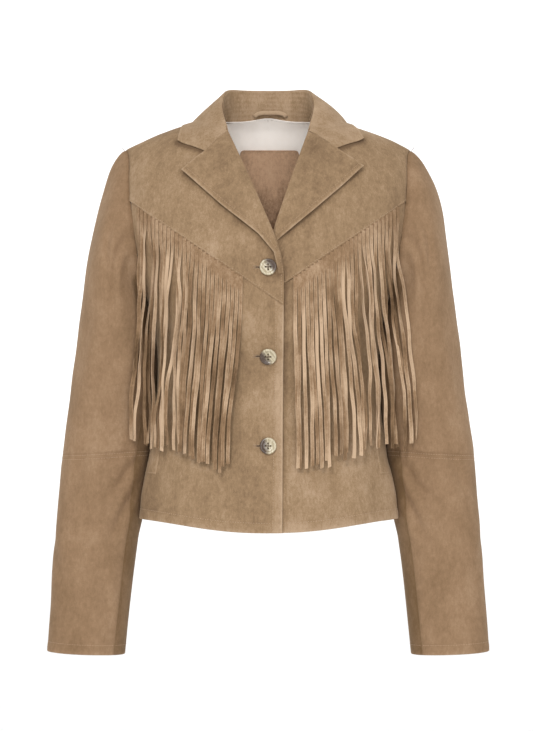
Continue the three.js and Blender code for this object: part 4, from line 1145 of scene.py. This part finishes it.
def line_through(rows):
    """A smooth line through points, evenly read from point to point."""
    knots = np.array(rows, float)
    ends = (2 * knots[0] - knots[1], 2 * knots[-1] - knots[-2])
    padded = np.vstack([ends[0], knots, ends[1]])

    def read(share):
        place = np.clip(share, 0, 1) * (len(knots) - 1)
        i = np.minimum(place.astype(int), len(knots) - 2)
        t = (place - i)[..., None]
        p0, p1, p2, p3 = (padded[i + k] for k in range(4))
        pairs = ((p0, p1), (p1, p2), (p2, p3))
        d0, d1, d2 = (np.sum((b - a) ** 2, -1, keepdims=True) ** 0.25 for a, b in pairs)
        m1 = ((p1 - p0) / d0 - (p2 - p0) / (d0 + d1) + (p2 - p1) / d1) * d1
        m2 = ((p2 - p1) / d1 - (p3 - p1) / (d1 + d2) + (p3 - p2) / d2) * d1
        square, cube = -3 * p1 + 3 * p2 - 2 * m1 - m2, 2 * p1 - 2 * p2 + m1 + m2
        return p1 + m1 * t + square * t**2 + cube * t**3

    return read


def clear_of_body(points, gap):
    """Moves points out from the body's middle line until they clear its form."""
    moved = points.copy()
    for face in ("front", "back"):
        chosen = (points[..., 1] < SHOULDER_Y) == (face == "front")
        x, y, z = points[..., 0], points[..., 1] - SHOULDER_Y, points[..., 2] - CHEST_Z
        half = body_row(np.maximum(points[..., 2], HEM_Z))[..., 0]
        share = np.clip(np.abs(x) / half, 0, 0.999) ** (ROUND / 2)
        deep = np.cos(np.arcsin(share)) ** (2 / ROUND)
        offset = SHOULDER_Y if face == "front" else -SHOULDER_Y
        depth = body_row(CHEST_Z)[FACE_COLUMN[face]] * deep + offset
        top = arch_top(face, x) - CHEST_Z
        power = ARCH[face]
        reach = (np.abs(y / depth) ** power + (np.maximum(0, z) / top) ** power) ** (1 / power)
        far = np.hypot(y, z)
        scale = np.maximum(1, (far / reach + gap) / far)
        place = np.stack([x, SHOULDER_Y + y * scale, CHEST_Z + z * scale], -1)
        moved = np.where(chosen[..., None], place, moved)
    return moved


ROLL_OVER = {"reach": 0.075, "radius": 2.2, "turn": 2.3, "rows": 6}  # how the collar turns in over its stand


def unit_inward(points):
    """The level way from points of the neck towards its middle."""
    way = np.stack([-points[..., 0], 10 - points[..., 1], np.zeros(points.shape[:-1])], -1)
    return way / np.linalg.norm(way, axis=-1, keepdims=True)


def spot_on_front(side, place, lift):
    """One point seen at a place on a front, lifted off it, as three plain numbers."""
    x, z = (np.array(float(k)) for k in place)
    return tuple(on_front(side, x, z, np.array(float(lift))))


def collar_half(side, share, width):
    """The collar's half: share runs from the nape to the gorge, width from the roll to the free edge, and
    below 0 in over the stand."""
    over = np.maximum(0, -width) / ROLL_OVER["reach"] * ROLL_OVER["turn"]
    width = np.maximum(0, width)
    corners = LAPEL[side]
    roll = line_through(COLLAR_ROLL + [spot_on_front(side, corners["roll"][0], 3.4)])(share)
    edge = line_through(COLLAR_EDGE + [spot_on_front(side, corners["tip"], 3.0)])(share)
    notch = np.array(spot_on_front(side, corners["notch"], 3.0))
    points = roll + (edge - roll) * width[..., None]
    dent = notch - (roll + edge) / 2
    tri = np.where(width < 0.5, width / 0.5, (1 - width) / 0.5)
    fade = np.maximum(0, (share - 0.7) / 0.3) ** 2
    points = points + dent * (tri * fade)[..., None]
    away = points * np.array([1, 0.8, 0])
    away[..., 2] = 14
    away /= np.linalg.norm(away, axis=-1, keepdims=True)
    swell = COLLAR_SWELL[side] * (6 + 4 * np.sin(np.pi * share)) * np.sin(np.pi * width) * (1 - share**4)
    points = clear_of_body(points + away * swell[..., None], lerp(4.2, 2.6, width))
    size = ROLL_OVER["radius"] * ease((1.02 - share) / 0.12)
    points = points + unit_inward(roll) * (size * np.sin(over))[..., None]
    points[..., 2] -= size * (1 - np.cos(over))
    points[..., 0] *= SIDES[side]
    return points


a, b = np.meshgrid(steps(COLLAR_SIZE[0], 2.6), steps(COLLAR_SIZE[1], 2.4))
turned_in = np.arange(1, ROLL_OVER["rows"] + 1)[:, None] * ROLL_OVER["reach"] / ROLL_OVER["rows"]
b = np.concatenate([b, np.full((len(turned_in), b.shape[1]), 1.0) + turned_in])
a = np.concatenate([a, a[: len(turned_in)]])
share = np.abs(2 * a - 1)
halves = {side: collar_half(side, share, 1 - b) for side in SIDES}
points = np.where((a < 0.5)[..., None], halves["right"], halves["left"])
normals, edges = measured(points, (0, 20, -40))
rise = 0.35 * drift(points, 60, 81) + stitched(edges["bottom"], COLLAR_STITCH, edges["left"], 4, 0.2)
rise += 2.2 * near(edges["bottom"], 9) * ease((share - 0.72) / 0.2)
tone = 0.25 + 0.4 * near(edges["bottom"], 2.2) + 0.1 * near(edges["top"], 8)
collar, face = cloth("collar", points, normals, rise, COLLAR_SUEDE, [body_suede], tone)
collar_line = seam_line(face, normals, edges["bottom"], COLLAR_STITCH, False)
collar_stitching = stitch_rows("collar_stitching", [collar_line], thread, radius=0.26)


STAND_ROWS = 7
STAND_REACH = 0.93  # how far towards the gorge the stand goes


def stand_half(side, share, rise):
    """The stand's half: share runs from the nape to the gorge, rise from the neck seam to the roll."""
    gorge = LAPEL[side]["roll"][0]
    base_rows = []
    for k in range(5):
        x = NECK_HALF * k / 4
        angle = np.degrees(np.arcsin((x / SHOULDER_TIP) ** (ROUND / 2)))
        base_rows.append(tuple(body_point("back", angle, back_top(angle))))
    foot_end = spot_on_front(side, (gorge[0] + 1, gorge[1] + 2), 0.2)
    top_end = spot_on_front(side, (gorge[0] + 1, gorge[1] + 6), 3)
    base = line_through(base_rows + [foot_end])(share * STAND_REACH)
    top = line_through(COLLAR_ROLL + [top_end])(share * STAND_REACH)
    top = top + unit_inward(top) * 1.9 + np.array([0, 0, -1.6])
    level = lerp(-3.0, -1.6, np.minimum(1, share / 0.7) ** 2)
    base = base + unit_inward(base) * 2.0 + np.stack([0 * level, 0 * level, level], -1)
    points = base + (top - base) * lerp(0.02, 1, rise)[..., None]
    points[..., 0] *= SIDES[side]
    return points


a, b = np.meshgrid(steps(STAND_SIZE[0], 2.6), steps(STAND_SIZE[1], 1.6))
share = np.abs(2 * a - 1)
halves = {side: stand_half(side, share, b) for side in SIDES}
points = np.where((a < 0.5)[..., None], halves["right"], halves["left"])
normals, edges = measured(points, (0, 10, 25))
uneven = 0.5 + 0.5 * drift(points, 26, 92)
channels = np.cos(2 * np.pi * STAND_ROWS * b)
rise = -1.6 + 0.14 * channels * uneven + 0.12 * drift(points, 60, 91)
# Painted shade: the stand is drawn darker towards both ends, where the collar's roll shades it; its rows are
# lighter on their ridges and darker in their grooves.
tone = 0.16 * channels * uneven - 0.5 * ease((share - 0.5) / 0.4) + 0.25
# The face that shows is the inner one, so the sheet's face and back change places.
stand, _ = cloth("collar_stand", points, -normals, -rise, SUEDE, [body_suede], tone)


# ---------------------------------------------------------------------------------------------------------
# Inside the neck: a back lining of cream viscose twill, a plain inner patch of suede sewn on it, and a
# hanger loop of folded suede sewn across the foot of the stand.
LINING_SIZE, LINING_PITCH = (440, 560), 4.5


def lining_points(a, b):
    """Points of the back's inner face, over both its panels."""
    angle, height = back_places(np.abs(2 * a - 1), b)
    points = body_point("back", angle, height)
    points[..., 0] *= np.where(a < 0.5, -1, 1)
    return points


a, b = np.meshgrid(*(steps(size, LINING_PITCH) for size in LINING_SIZE))
points = lining_points(lerp(0.03, 0.97, a), lerp(0.045, 0.997, b))
normals, edges = measured(points)
rise = lerp(-2.2, -5.6, ease((edges["top"] - 3) / 45))
rise = rise + ease(edges["top"] / 20) * 0.5 * drift(points, 70, 101)
# Its top edge stands up over the foot of the stand.
over_foot = ease(1 - edges["top"] / 16) * ease((64 - np.abs(points[..., 0])) / 9)
points[..., 2] += 5.8 * over_foot
rise -= 4.8 * over_foot
rise += fold(points[..., 0] + 34, points[..., 2] + 20, -12, 34, 5, 0.6)
rise += fold(points[..., 0] - 38, points[..., 2] + 18, 14, 34, 5, 0.6)
lining, _ = cloth("back_lining", points, normals, rise, 1.0, [lining_cloth])

PATCH = {"half": 42, "middle": 2, "top": -27, "bottom": -168, "corner": 5}
PATCH |= {"below": 10.9, "thick": 1.3, "stitch": 3.0}
PATCH_SIZE = (84, 145)
OPENING = {"half": 46, "narrows": 0.43, "least": 3}  # half the neck opening's breadth at the patch's top
patch_suede = suede("goat_suede_inner_patch", "#4B3322", "#BB997C", "#D3B597", 6.1, 0.55, 0.55)
a, b = np.meshgrid(steps(PATCH_SIZE[0], 2.0), steps(PATCH_SIZE[1], 2.2))
z = lerp(PATCH["bottom"], PATCH["top"], b)
near_end = np.minimum(np.minimum(z - PATCH["bottom"], PATCH["top"] - z), PATCH["corner"])
corner = PATCH["corner"] - np.sqrt(np.maximum(0, PATCH["corner"] ** 2 - (PATCH["corner"] - near_end) ** 2))
x = PATCH["middle"] + lerp(-1, 1, a) * (PATCH["half"] - corner)
points = body_point("back", *place_at("back", x, z))
normals, edges = measured(points)
border = np.minimum.reduce([edges[k] for k in edges])
rise = 0.3 * drift(points, 40, 111) - stitched(border, PATCH["stitch"], edges["bottom"], 6, 0.4)
rise -= PATCH["below"]
# Painted shade: it lies deep in the opening, where the fronts shade it, so its colour is drawn darker down
# the opening and towards its sides.
opening = np.maximum(OPENING["least"], OPENING["half"] + OPENING["narrows"] * (z - PATCH["top"]))
shaded = np.abs(x - PATCH["middle"]) / opening
tone = -0.1 * near(border, 3) - 0.66 * ease((-62 - z) / 88) - 0.2 * ease(shaded - 0.35)
patch_piece, face = cloth("inner_patch", points, -normals, -rise, PATCH["thick"], [patch_suede], tone)
patch_lines = []
for edge in ("top", "left", "right"):
    patch_lines.append(seam_line(face, -normals, edges[edge], PATCH["stitch"], edge != "top"))
patch_stitching = stitch_rows("patch_stitching", patch_lines, thread, radius=0.28)

LOOP = {"half": 21, "middle": 3, "back": 48.0, "bow": 1.0, "foot": 11.5, "rise": 5}
LOOP_STRIP = {"width": 5.5, "thick": 1.4, "dome": 0.35}
t = np.linspace(-1, 1, 41)
lift = 1 - np.abs(t) ** 5
loop_x = LOOP["middle"] + LOOP["half"] * t
loop_line = np.stack([loop_x, LOOP["back"] - LOOP["bow"] * lift, LOOP["foot"] + LOOP["rise"] * lift], -1)
run = np.gradient(loop_line, axis=0)
run /= np.linalg.norm(run, axis=1, keepdims=True)
wide = np.cross(np.array([0, -1, 0]), run)
across = np.linspace(-0.5, 0.5, 7)
points = loop_line[None] + wide[None] * (across * LOOP_STRIP["width"])[:, None, None]
normals = np.broadcast_to(np.array([0.0, -1.0, 0.0]), points.shape)
dome = LOOP_STRIP["dome"] * (1 - (2 * across[:, None]) ** 2) + np.zeros(t.shape)
rise = LOOP_STRIP["thick"] + dome - LOOP_STRIP["dome"]
light = np.full(dome.shape, 0.9)
loop, _ = cloth("hanger_loop", points, normals, rise, LOOP_STRIP["thick"], [body_suede], light)


# ---------------------------------------------------------------------------------------------------------
# The fringes: one strip of suede on each side, sewn into the yoke seam and slit into strands that hang in
# loose groups, twist a little and lie over one another. Flesh sides show lighter, and cut edges too: partly
# their own paler colour, partly a painted highlight.
FRINGE = {"strands": 27, "from": 34, "to": 166, "header": 14.5, "thick": 1.2, "clear": 1.7, "seam_gap": 0.6}
STRAND_RINGS = 76
TIP_FROM = {"right": (50, 60, 82, 105, 120, 145, 158, 176), "left": (36, 48, 70, 98, 126, 152, 176, 192)}
TIP_Z = {  # heights of the tips at those distances from the centre line
    "right": (-446, -448, -437, -424, -419, -419, -421, -414),
    "left": (-448, -444, -444, -430, -424, -421, -424, -408),
}
FRINGE_SEED = {"right": 15, "left": 29}
FRINGE_TINT = {"right": 0.05, "left": 0.22}
NO_CLOTH = 400  # a depth behind everything
fringe_suede = suede("goat_suede_cut_fringe", "#54402C", "#886D52", "#BCA185", 8.3, 0.8, 0.8)


def seam_z(x):
    """Height of the yoke seam on the form, at a distance from the centre line."""
    line = body_point("front", *yoke_seam(np.linspace(0, 1, 200)))
    return np.interp(x, line[:, 0], line[:, 2])


def cloth_front(x, z):
    """How far forward the body or the sleeve reaches at a place, on the wearer's left."""
    body = body_point("front", *place_at("front", x, z))[..., 1]
    half = body_row(np.maximum(z, HEM_Z))[..., 0]
    body = np.where(x < half - 0.5, body, NO_CLOTH)
    row = sleeve_row(np.minimum(z, SLEEVE_TOP_Z))
    share = np.abs(x - row[..., 0]) / row[..., 2]
    arm = row[..., 1] - row[..., 3] * np.maximum(0, 1 - share**SLEEVE_ROUND) ** (1 / SLEEVE_ROUND)
    return np.minimum(body, np.where(share < 1, arm, NO_CLOTH))


def waves(rng, s, parts):
    """A sum of sines along a strand, each of an amplitude and a number of waves, at random phases."""
    total = 0
    for size, count in parts:
        total = total + rng.uniform(0.5, 1) * size * np.sin(2 * np.pi * s * count + rng.uniform(0, 6.3))
    return total


def ribbon(centre, turn, half_width, cup, slant):
    """Rings of six points along a strand, flat and turned about its run, with its cut end slanted."""
    run = np.gradient(centre, axis=0)
    run /= np.linalg.norm(run, axis=1, keepdims=True)
    wide = np.stack([np.cos(turn), np.sin(turn), np.zeros(len(turn))], -1)
    wide -= run * np.sum(wide * run, axis=1, keepdims=True)
    wide /= np.linalg.norm(wide, axis=1, keepdims=True)
    thick = np.cross(wide, run)
    rings = []
    for w, d, bend in ((-1, -1, 0), (0, -1, 1), (1, -1, 0), (1, 1, 0), (0, 1, 1), (-1, 1, 0)):
        corner = centre + wide * (w * half_width)[:, None]
        corner = corner + thick * (d * FRINGE["thick"] / 2 + bend * cup)[:, None]
        corner[-1] += run[-1] * w * slant
        rings.append(corner)
    return np.stack(rings, 1)


def hang(x, z, layer, root_y, start):
    """How far forward a strand hangs: it falls straight from where cloth or header pushes it out."""
    limit = cloth_front(np.maximum(x, 1), z) - FRINGE["clear"] - layer
    held = np.minimum(limit, root_y)
    held[: start + 1] = root_y[: start + 1]
    fallen = lerp(np.minimum.accumulate(held), held, 0.6)
    soft = np.convolve(np.pad(fallen, 3, mode="edge"), np.ones(7) / 7, mode="valid")
    return np.where(np.arange(len(x)) <= start, root_y, np.minimum(soft, fallen + 0.4))


def strand_groups(rng, count):
    """Parts the strands into groups of one to three neighbours that sway together."""
    groups, first = [], 0
    while first < count:
        size = int(rng.integers(1, 4))
        groups.append((first, min(count, first + size)))
        first += size
    return groups


def strand_faces(base):
    """Faces round a strand's rings of six points, and two on each of its ends."""
    ring = np.arange(6)
    step = base + 6 * np.arange(STRAND_RINGS - 1)[:, None]
    after = (ring + 1) % 6
    quads = np.stack([step + ring, step + after, step + after + 6, step + ring + 6], -1)
    end = base + 6 * (STRAND_RINGS - 1)
    ends = [(base, base + 5, base + 4, base + 1), (base + 1, base + 4, base + 3, base + 2)]
    ends += [(end, end + 1, end + 4, end + 5), (end + 1, end + 2, end + 3, end + 4)]
    return quads.reshape(-1, 4).tolist() + ends


def fringe_strands(side):
    """Points, faces and tones of one side's strands, on the garment's own left. Those towards the sleeve
    are outer ones: they part, lean and turn more."""
    rng = np.random.default_rng(FRINGE_SEED[side])
    count = FRINGE["strands"]
    roots, pitch = np.linspace(FRINGE["from"], FRINGE["to"], count, retstep=True)
    s = np.linspace(0, 1, STRAND_RINGS)
    verts, faces, tones = [], [], []
    for first, past in strand_groups(rng, count):
        middle = roots[first:past].mean()
        outer = ease((middle - 66) / 55)
        sway = waves(rng, s, ((0.5 + 1.1 * outer, 0.9), (0.3 + 0.8 * outer, 1.9)))
        lean = rng.uniform(-2.6, 2.6) * outer
        for k in range(first, past):
            # Where it starts and ends, and where its slit begins.
            x0 = roots[k]
            tip_x = lerp(TIP_FROM[side][0], TIP_FROM[side][-1], k / (count - 1))
            tip_x += rng.uniform(-1, 1) * (2.5 + 2.5 * outer)
            tip_z = np.interp(tip_x, TIP_FROM[side], TIP_Z[side]) + rng.uniform(-6, 7)
            z0 = seam_z(x0) - FRINGE["seam_gap"]
            z = lerp(z0, tip_z, s)
            slit = (FRINGE["header"] + rng.uniform(-2.5, 2.5)) / (z0 - tip_z)
            start = int(slit * (STRAND_RINGS - 1))
            free = ease((s - slit) / 0.16)
            parted = ease((s - slit) / 0.035)
            # How it sways, how far out it lies and how it falls over the cloth.
            own_waves = ((0.5 + 0.7 * outer, 1.2), (0.3 + 0.4 * outer, 2.6), (0.2 + 0.45 * outer, 5.1))
            own = waves(rng, s, own_waves)
            gather = (middle - x0) * rng.uniform(0.1, 0.4) * outer
            x = x0 + (tip_x - x0) * ease((s - slit) / (1 - slit)) + free * (sway + own + gather + lean)
            layer = (k % 2) * (0.3 + 1.5 * outer) + rng.uniform(0, 0.6)
            layer += 1.4 * outer * (rng.uniform() < 0.3)
            surface = cloth_front(np.full(STRAND_RINGS, x0), z)
            root_y = surface - 0.75 - lap_lift(side, x) - FRINGE["thick"] / 2
            y = hang(x, z, lap_lift(side, x) + layer * free, root_y, start)
            # How it turns, narrows and curls.
            slope = np.diff(cloth_front(np.array([x0 - 3, x0 + 3]), np.full(2, z0 - 6)))[0] / 6
            loose = rng.uniform() < 0.1 + 0.4 * outer
            swing = rng.uniform(0.1, 0.3) + rng.uniform(0.2, 0.4) * outer + rng.uniform(0.4, 1.1) * loose
            slow, quick = rng.uniform(0.4, 1.1), rng.uniform(1.6, 3.0)
            twist = waves(rng, s, ((swing, slow), (0.12 + 0.25 * outer, quick)))
            turn = np.arctan(slope) * (1 - 0.6 * free) + twist * free
            narrowed = rng.uniform(0.8, 0.92) + rng.uniform(-0.16, 0.12) * outer
            uneven = 1 + free * waves(rng, s, ((0.05, 1.3), (0.05, 3.1)))
            half_width = pitch / 2 * (1 + 0.03 * (1 - parted)) * lerp(1, narrowed, parted) * uneven
            cup = rng.uniform(-0.3, 0.4) * free
            faces += strand_faces(6 * len(verts))
            verts += list(ribbon(np.stack([x, y, z], -1), turn, half_width, cup, rng.uniform(-1.2, 1.2)))
            # How light it is: a few show their pale flesh side, and the cut edges are lighter, partly their
            # own paler colour and partly a painted highlight where they catch the light.
            pale = rng.uniform() < 0.1 + 0.12 * outer
            shade = rng.uniform(-0.45, 0.05) + rng.uniform(-0.4, 0.4) * outer + 0.3 * pale + FRINGE_TINT[side]
            shade = shade + waves(rng, s, ((0.3 + 0.3 * pale, 1.4), (0.2, 4.2))) + 0.4 * np.abs(np.sin(twist))
            shade = lerp(0.1, shade, free)
            cut = shade + 0.3 * parted
            tones += list(np.stack([cut, shade, cut, cut, shade, cut], 1))
    return np.concatenate(verts), np.array(faces), np.concatenate(tones)


for side in SIDES:
    header_x = np.linspace(FRINGE["from"] - 2.0, FRINGE["to"] + 1.6, 70)
    x_grid, b_grid = np.meshgrid(header_x, np.linspace(0, 1, 7))
    z_grid = seam_z(x_grid) - lerp(FRINGE["header"] - 3, -1.5, b_grid)
    points = side_grid("front", *place_at("front", x_grid, z_grid), side)
    normals = with_normals(points, INSIDE_BODY)
    rise = 0.7 + lap_lift(side, x_grid)
    shade = np.full_like(rise, -0.05)
    header, _ = cloth(
        "fringe_header_" + side,
        points,
        normals,
        rise,
        0.6,
        [fringe_suede],
        shade,
        solid=False,
    )
    verts, faces, tones = fringe_strands(side)
    verts[:, 0] *= SIDES[side]
    if side == "right":
        faces = faces[:, ::-1]
    strands = make_object("fringe_strands_" + side, verts * MM, faces, [fringe_suede])
    strands.data.set_sharp_from_angle(angle=np.radians(50))
    add_values(strands.data, "tone", tones.ravel())
    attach(strands, "root")
    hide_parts("fringe_" + side)


# ---------------------------------------------------------------------------------------------------------
# The pocket welts: a strip of suede turned and stitched down along each slanted pocket mouth, near the side
# seam, with a short bar of stitching across its lower end.
WELT = {"from": 62, "to": 73.5, "bottom": -456, "top": -322, "lift": 0.8, "stitch": 2.0}  # from, to: degrees
WELT_SIZE = (12, 136)
welt_pieces = {}
welt_lines = []
for side in SIDES:
    a, b = np.meshgrid(steps(WELT_SIZE[0], 1.5), steps(WELT_SIZE[1], 2.6))
    angle = lerp(WELT["from"], WELT["to"], a)
    z = lerp(WELT["bottom"], WELT["top"], b)
    hem = HEM_Z - HEM_DIP["front"] * np.cos(np.radians(angle)) ** 4
    points = side_grid("front", angle, -(CHEST_Z - z) / (CHEST_Z - hem), side)
    normals, edges = measured(points)
    rise = front_relief(points, angle, side) + WELT["lift"]
    rise += stitched(edges["left"], WELT["stitch"], edges["bottom"], 1, 0.2)
    rise -= (WELT["lift"] + 0.5) * near(edges["right"], 2.5)
    tone = 0.25 * near(edges["left"], 2) + 0.12
    welt_pieces[side], face = cloth(
        "pocket_welt_" + side, points, normals, rise, SUEDE, [body_suede], tone
    )
    welt_lines.append(seam_line(face, normals, edges["left"], WELT["stitch"], True))
    welt_lines.append(seam_line(face, normals, edges["bottom"], WELT["stitch"], False))
welt_stitching = stitch_rows("welt_stitching", welt_lines, thread, pitch=2.4)


# ---------------------------------------------------------------------------------------------------------
# The buttons: horn-effect polyester, turned to 21 mm across with a raised rim and a dished middle, drilled
# with four holes and sewn on through the lap. They are pale with a dark marbled side, and polished.
BUTTON = {"radius": 10.5, "thick": 3.6, "hole": 1.15, "from_middle": 2.3, "seat": 0.8}
BUTTONS = {  # height, and the way to the dark side in degrees
    "button_top": (-194, 38),
    "button_middle": (-303.8, 215),
    "button_bottom": (-418, 188),
}
BUTTON_EDGE = [(0.72, 0), (0.88, 0.12), (0.97, 0.36), (1.0, 0.62), (0.985, 0.82), (0.93, 0.96)]
BUTTON_DISH = [(0.86, 1.0), (0.78, 0.97), (0.7, 0.8), (0.62, 0.64), (0.5, 0.58)]
BUTTON_PROFILE = BUTTON_EDGE + BUTTON_DISH  # shares of the radius and of the thickness
BUTTON_SIDES, HOLE_SIDES = 64, 16
DISH = 0.58  # how high the dished middle lies, as a share of the thickness
SEWN = {"apart": 0.45, "radius": 0.3, "sunk": 1.0, "bulge": 1.75, "crossing": 0.25}  # the thread's runs
TO_RIGHT = np.array([-1, 1, 1])  # turns a place worked out on the wearer's left to the right


def horn(name, dark_side):
    """Horn-effect polyester, cast in layers, turned and polished: pale cream with a dark marbled side and
    fine growth lines 0.7 mm apart, under a hard gloss."""
    material, shader = new_material(name, Roughness=0.28, Coat_Weight=0.2, Coat_Roughness=0.12)
    where = add_node(material, "ShaderNodeAttribute", {"attribute_name": "disc"}).outputs["Vector"]
    turning = {"Rotation": (0, 0, -np.radians(dark_side))}
    turned = add_node(material, "ShaderNodeMapping", turning, Vector=where).outputs["Vector"]
    cloudy = {"Scale": 230.0, "Detail": 4.0, "Roughness": 0.6}
    cloud = add_node(material, "ShaderNodeTexNoise", cloudy, Vector=turned)
    adding = {"operation": "MULTIPLY_ADD"}
    bent = add_node(material, "ShaderNodeVectorMath", adding, _0=cloud.outputs["Color"], _2=turned)
    bent.inputs[1].default_value = (0.009, 0.009, 0.0)
    split = add_node(material, "ShaderNodeSeparateXYZ", Vector=bent.outputs[0]).outputs["X"]
    share = add_node(material, "ShaderNodeMapRange", {"From Min": 0.0035, "From Max": 0.0095}, Value=split)
    growth = {"Scale": 72.0, "Distortion": 3.0, "Detail": 2.0}
    lines = add_node(material, "ShaderNodeTexWave", growth, Vector=bent.outputs[0]).outputs["Fac"]
    pale = blend(material, lines, "#C4B99F", "#A5987C")
    dark = blend(material, cloud.outputs["Fac"], "#33261F", "#5A483B")
    both = blend(material, share.outputs[0], pale, dark)
    material.node_tree.links.new(both, shader.inputs["Base Color"])
    return material


def ring(radius, height, count, x=0.0, y=0.0):
    """Points of a level ring round a place."""
    angles = np.linspace(0, 2 * np.pi, count, endpoint=False)
    return [(x + radius * np.cos(t), y + radius * np.sin(t), height) for t in angles]


def button_seat(height):
    """The middle of a button's back on the over front, and the ways to its right, up and out of it."""
    seat = np.array(spot_on_front("right", (0.01, height), BUTTON["seat"])) * TO_RIGHT
    above, below = (np.array(spot_on_front("right", (0.01, height + k), 0)) for k in (8, -8))
    up = (above - below) / np.linalg.norm(above - below)
    out = np.array([0, -up[2], up[1]])
    out /= np.linalg.norm(out)
    return seat, (np.cross(up, out), up, out)


def placed(local, seat, ways):
    """Points in a button's own frame, in millimetres, as points of the garment in metres."""
    local = np.array(local)
    return (seat + sum(np.outer(local[:, k], way) for k, way in enumerate(ways))) * MM


def drilled(piece, drills):
    """Cuts the drills' form out of a piece and takes the drills away."""
    cut = piece.modifiers.new("holes", "BOOLEAN")
    cut.object = drills
    cut.solver = "EXACT"
    bpy.context.view_layer.update()
    mesh = bpy.data.meshes.new_from_object(piece.evaluated_get(bpy.context.evaluated_depsgraph_get()))
    piece.modifiers.clear()
    piece.data = mesh
    bpy.data.objects.remove(drills)
    return mesh


def thread_cross(holes):
    """Two pairs of thread runs that cross between opposite holes."""
    verts, faces = [], []
    shares = np.linspace(0, 1, 9)
    for crossing in (0, 1):
        start, end = holes[crossing], holes[crossing + 2]
        aside = np.array([start[1] - end[1], end[0] - start[0]]) / np.hypot(*(end - start))
        for offset in (-SEWN["apart"], SEWN["apart"]):
            faces += tube_faces(len(verts), len(shares), 4)
            for share in shares:
                middle = lerp(start, end, share) + aside * offset
                level = BUTTON["thick"] * DISH - SEWN["sunk"] + SEWN["bulge"] * np.sin(np.pi * share) ** 0.35
                level += SEWN["crossing"] * crossing
                for t in np.radians([45, 135, 225, 315]):
                    x, y = middle + aside * SEWN["radius"] * np.cos(t)
                    verts.append((x, y, level + SEWN["radius"] * np.sin(t)))
    return verts, faces


# Waxed polyester button thread, brown: a hard little cross in the dished middle.
sewing_thread, _ = new_material("waxed_button_thread", Base_Color=srgb("#6A5845"), Roughness=0.6)
hole_reach = 1.414 * BUTTON["from_middle"]
hole_places = [hole_reach * np.array([np.cos(turn), np.sin(turn)]) for turn in np.pi / 2 * np.arange(4)]
for name, (height, dark_side) in BUTTONS.items():
    seat, ways = button_seat(height)
    rounds = [ring(BUTTON["radius"] * r, BUTTON["thick"] * h, BUTTON_SIDES) for r, h in BUTTON_PROFILE]
    blank_faces = tube_faces(0, len(rounds), BUTTON_SIDES)
    piece = make_object(name + "_horn", placed(sum(rounds, []), seat, ways), blank_faces, [])
    drill_verts, drill_faces = [], []
    for x, y in hole_places:
        drill_faces += tube_faces(len(drill_verts), 2, HOLE_SIDES)
        for level in (-2, 8):
            drill_verts += ring(BUTTON["hole"], level, HOLE_SIDES, x, y)
    mesh = drilled(piece, make_object("drill", placed(drill_verts, seat, ways), drill_faces, []))
    mesh.polygons.foreach_set("use_smooth", np.full(len(mesh.polygons), True))
    mesh.set_sharp_from_angle(angle=np.radians(40))
    mesh.materials.clear()
    mesh.materials.append(horn("polished_horn_" + name, dark_side))
    spots = np.empty(len(mesh.vertices) * 3)
    mesh.vertices.foreach_get("co", spots)
    spots = spots.reshape(-1, 3) / MM - seat
    add_values(mesh, "disc", np.stack([spots @ way for way in ways], -1) * MM)
    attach(piece, "root")
    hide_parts(name)
    cross_verts, cross_faces = thread_cross(hole_places)
    cross_verts = placed(cross_verts, seat, ways)
    cross = make_object(name + "_thread", cross_verts, cross_faces, [sewing_thread])
    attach(cross, "root")


# ---------------------------------------------------------------------------------------------------------
# The buttonholes: horizontal slits in the over front, each bound by two lips of close thread, that run from
# under the button towards the wearer's right.
HOLE_LIPS = {"from": 5, "to": 19, "apart": 0.75, "half": 0.75, "rise": 1.25}
SLIT = {"half": 0.95, "narrow": 0.3, "short": 3.4}  # it tapers from the button to its end
BOX = ((0, 1, 3, 2), (4, 6, 7, 5), (0, 4, 5, 1), (2, 3, 7, 6), (0, 2, 6, 4), (1, 5, 7, 3))
# Painted shadow: a dark brown sheet inside the slit stands in for the shade between the lips; it shows as a
# thin dark line.
slit_shadow_sheet, _ = new_material("buttonhole_painted_shadow", Base_Color=srgb("#3A281B"), Roughness=0.9)


def satin_bars(name, pairs, material, radius=0.36):
    """Satin stitches side by side: each a short slub of thread from one end to the other."""
    rings = [(0, 0.5, -0.2), (0.3, 1, 0.25), (0.7, 1, 0.25), (1, 0.5, -0.2)]
    up = np.array([0.0, -1.0, 0.0])
    verts, faces = [], []
    for head, tail in pairs:
        wide = np.cross(tail - head, up)
        wide = wide / np.linalg.norm(wide)
        faces += tube_faces(len(verts), len(rings), 4)
        for share, size, rise in rings:
            middle = lerp(head, tail, share) + up * rise
            for t in np.radians([45, 135, 225, 315]):
                verts.append(middle + radius * size * (np.cos(t) * wide + np.sin(t) * up))
    piece = make_object(name, np.array(verts) * MM, faces, [material])
    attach(piece, "root")
    return piece


bars = []
slit_verts, slit_faces = [], []
for height, _ in BUTTONS.values():
    for level in (-HOLE_LIPS["rise"], HOLE_LIPS["rise"]):
        for x in np.arange(HOLE_LIPS["from"], HOLE_LIPS["to"], HOLE_LIPS["apart"]):
            ends_z = np.array([height + level - HOLE_LIPS["half"], height + level + HOLE_LIPS["half"]])
            bars.append(on_front("right", np.full(2, x), ends_z, np.full(2, 0.15)) * TO_RIGHT)
    slit_faces += [tuple(len(slit_verts) + corner for corner in face) for face in BOX]
    x = np.array([HOLE_LIPS["from"], HOLE_LIPS["to"] - SLIT["short"]])
    for lift in (0.05, 0.5):
        for way in (-1, 1):
            z = height + way * np.array([SLIT["half"], SLIT["narrow"] * SLIT["half"]])
            slit_verts += list(on_front("right", x, z, np.full(2, lift)) * TO_RIGHT)
satin_bars("buttonhole_stitching", bars, thread)
slits = make_object("buttonhole_slits", np.array(slit_verts) * MM, slit_faces, [slit_shadow_sheet], smooth=False)
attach(slits, "root")
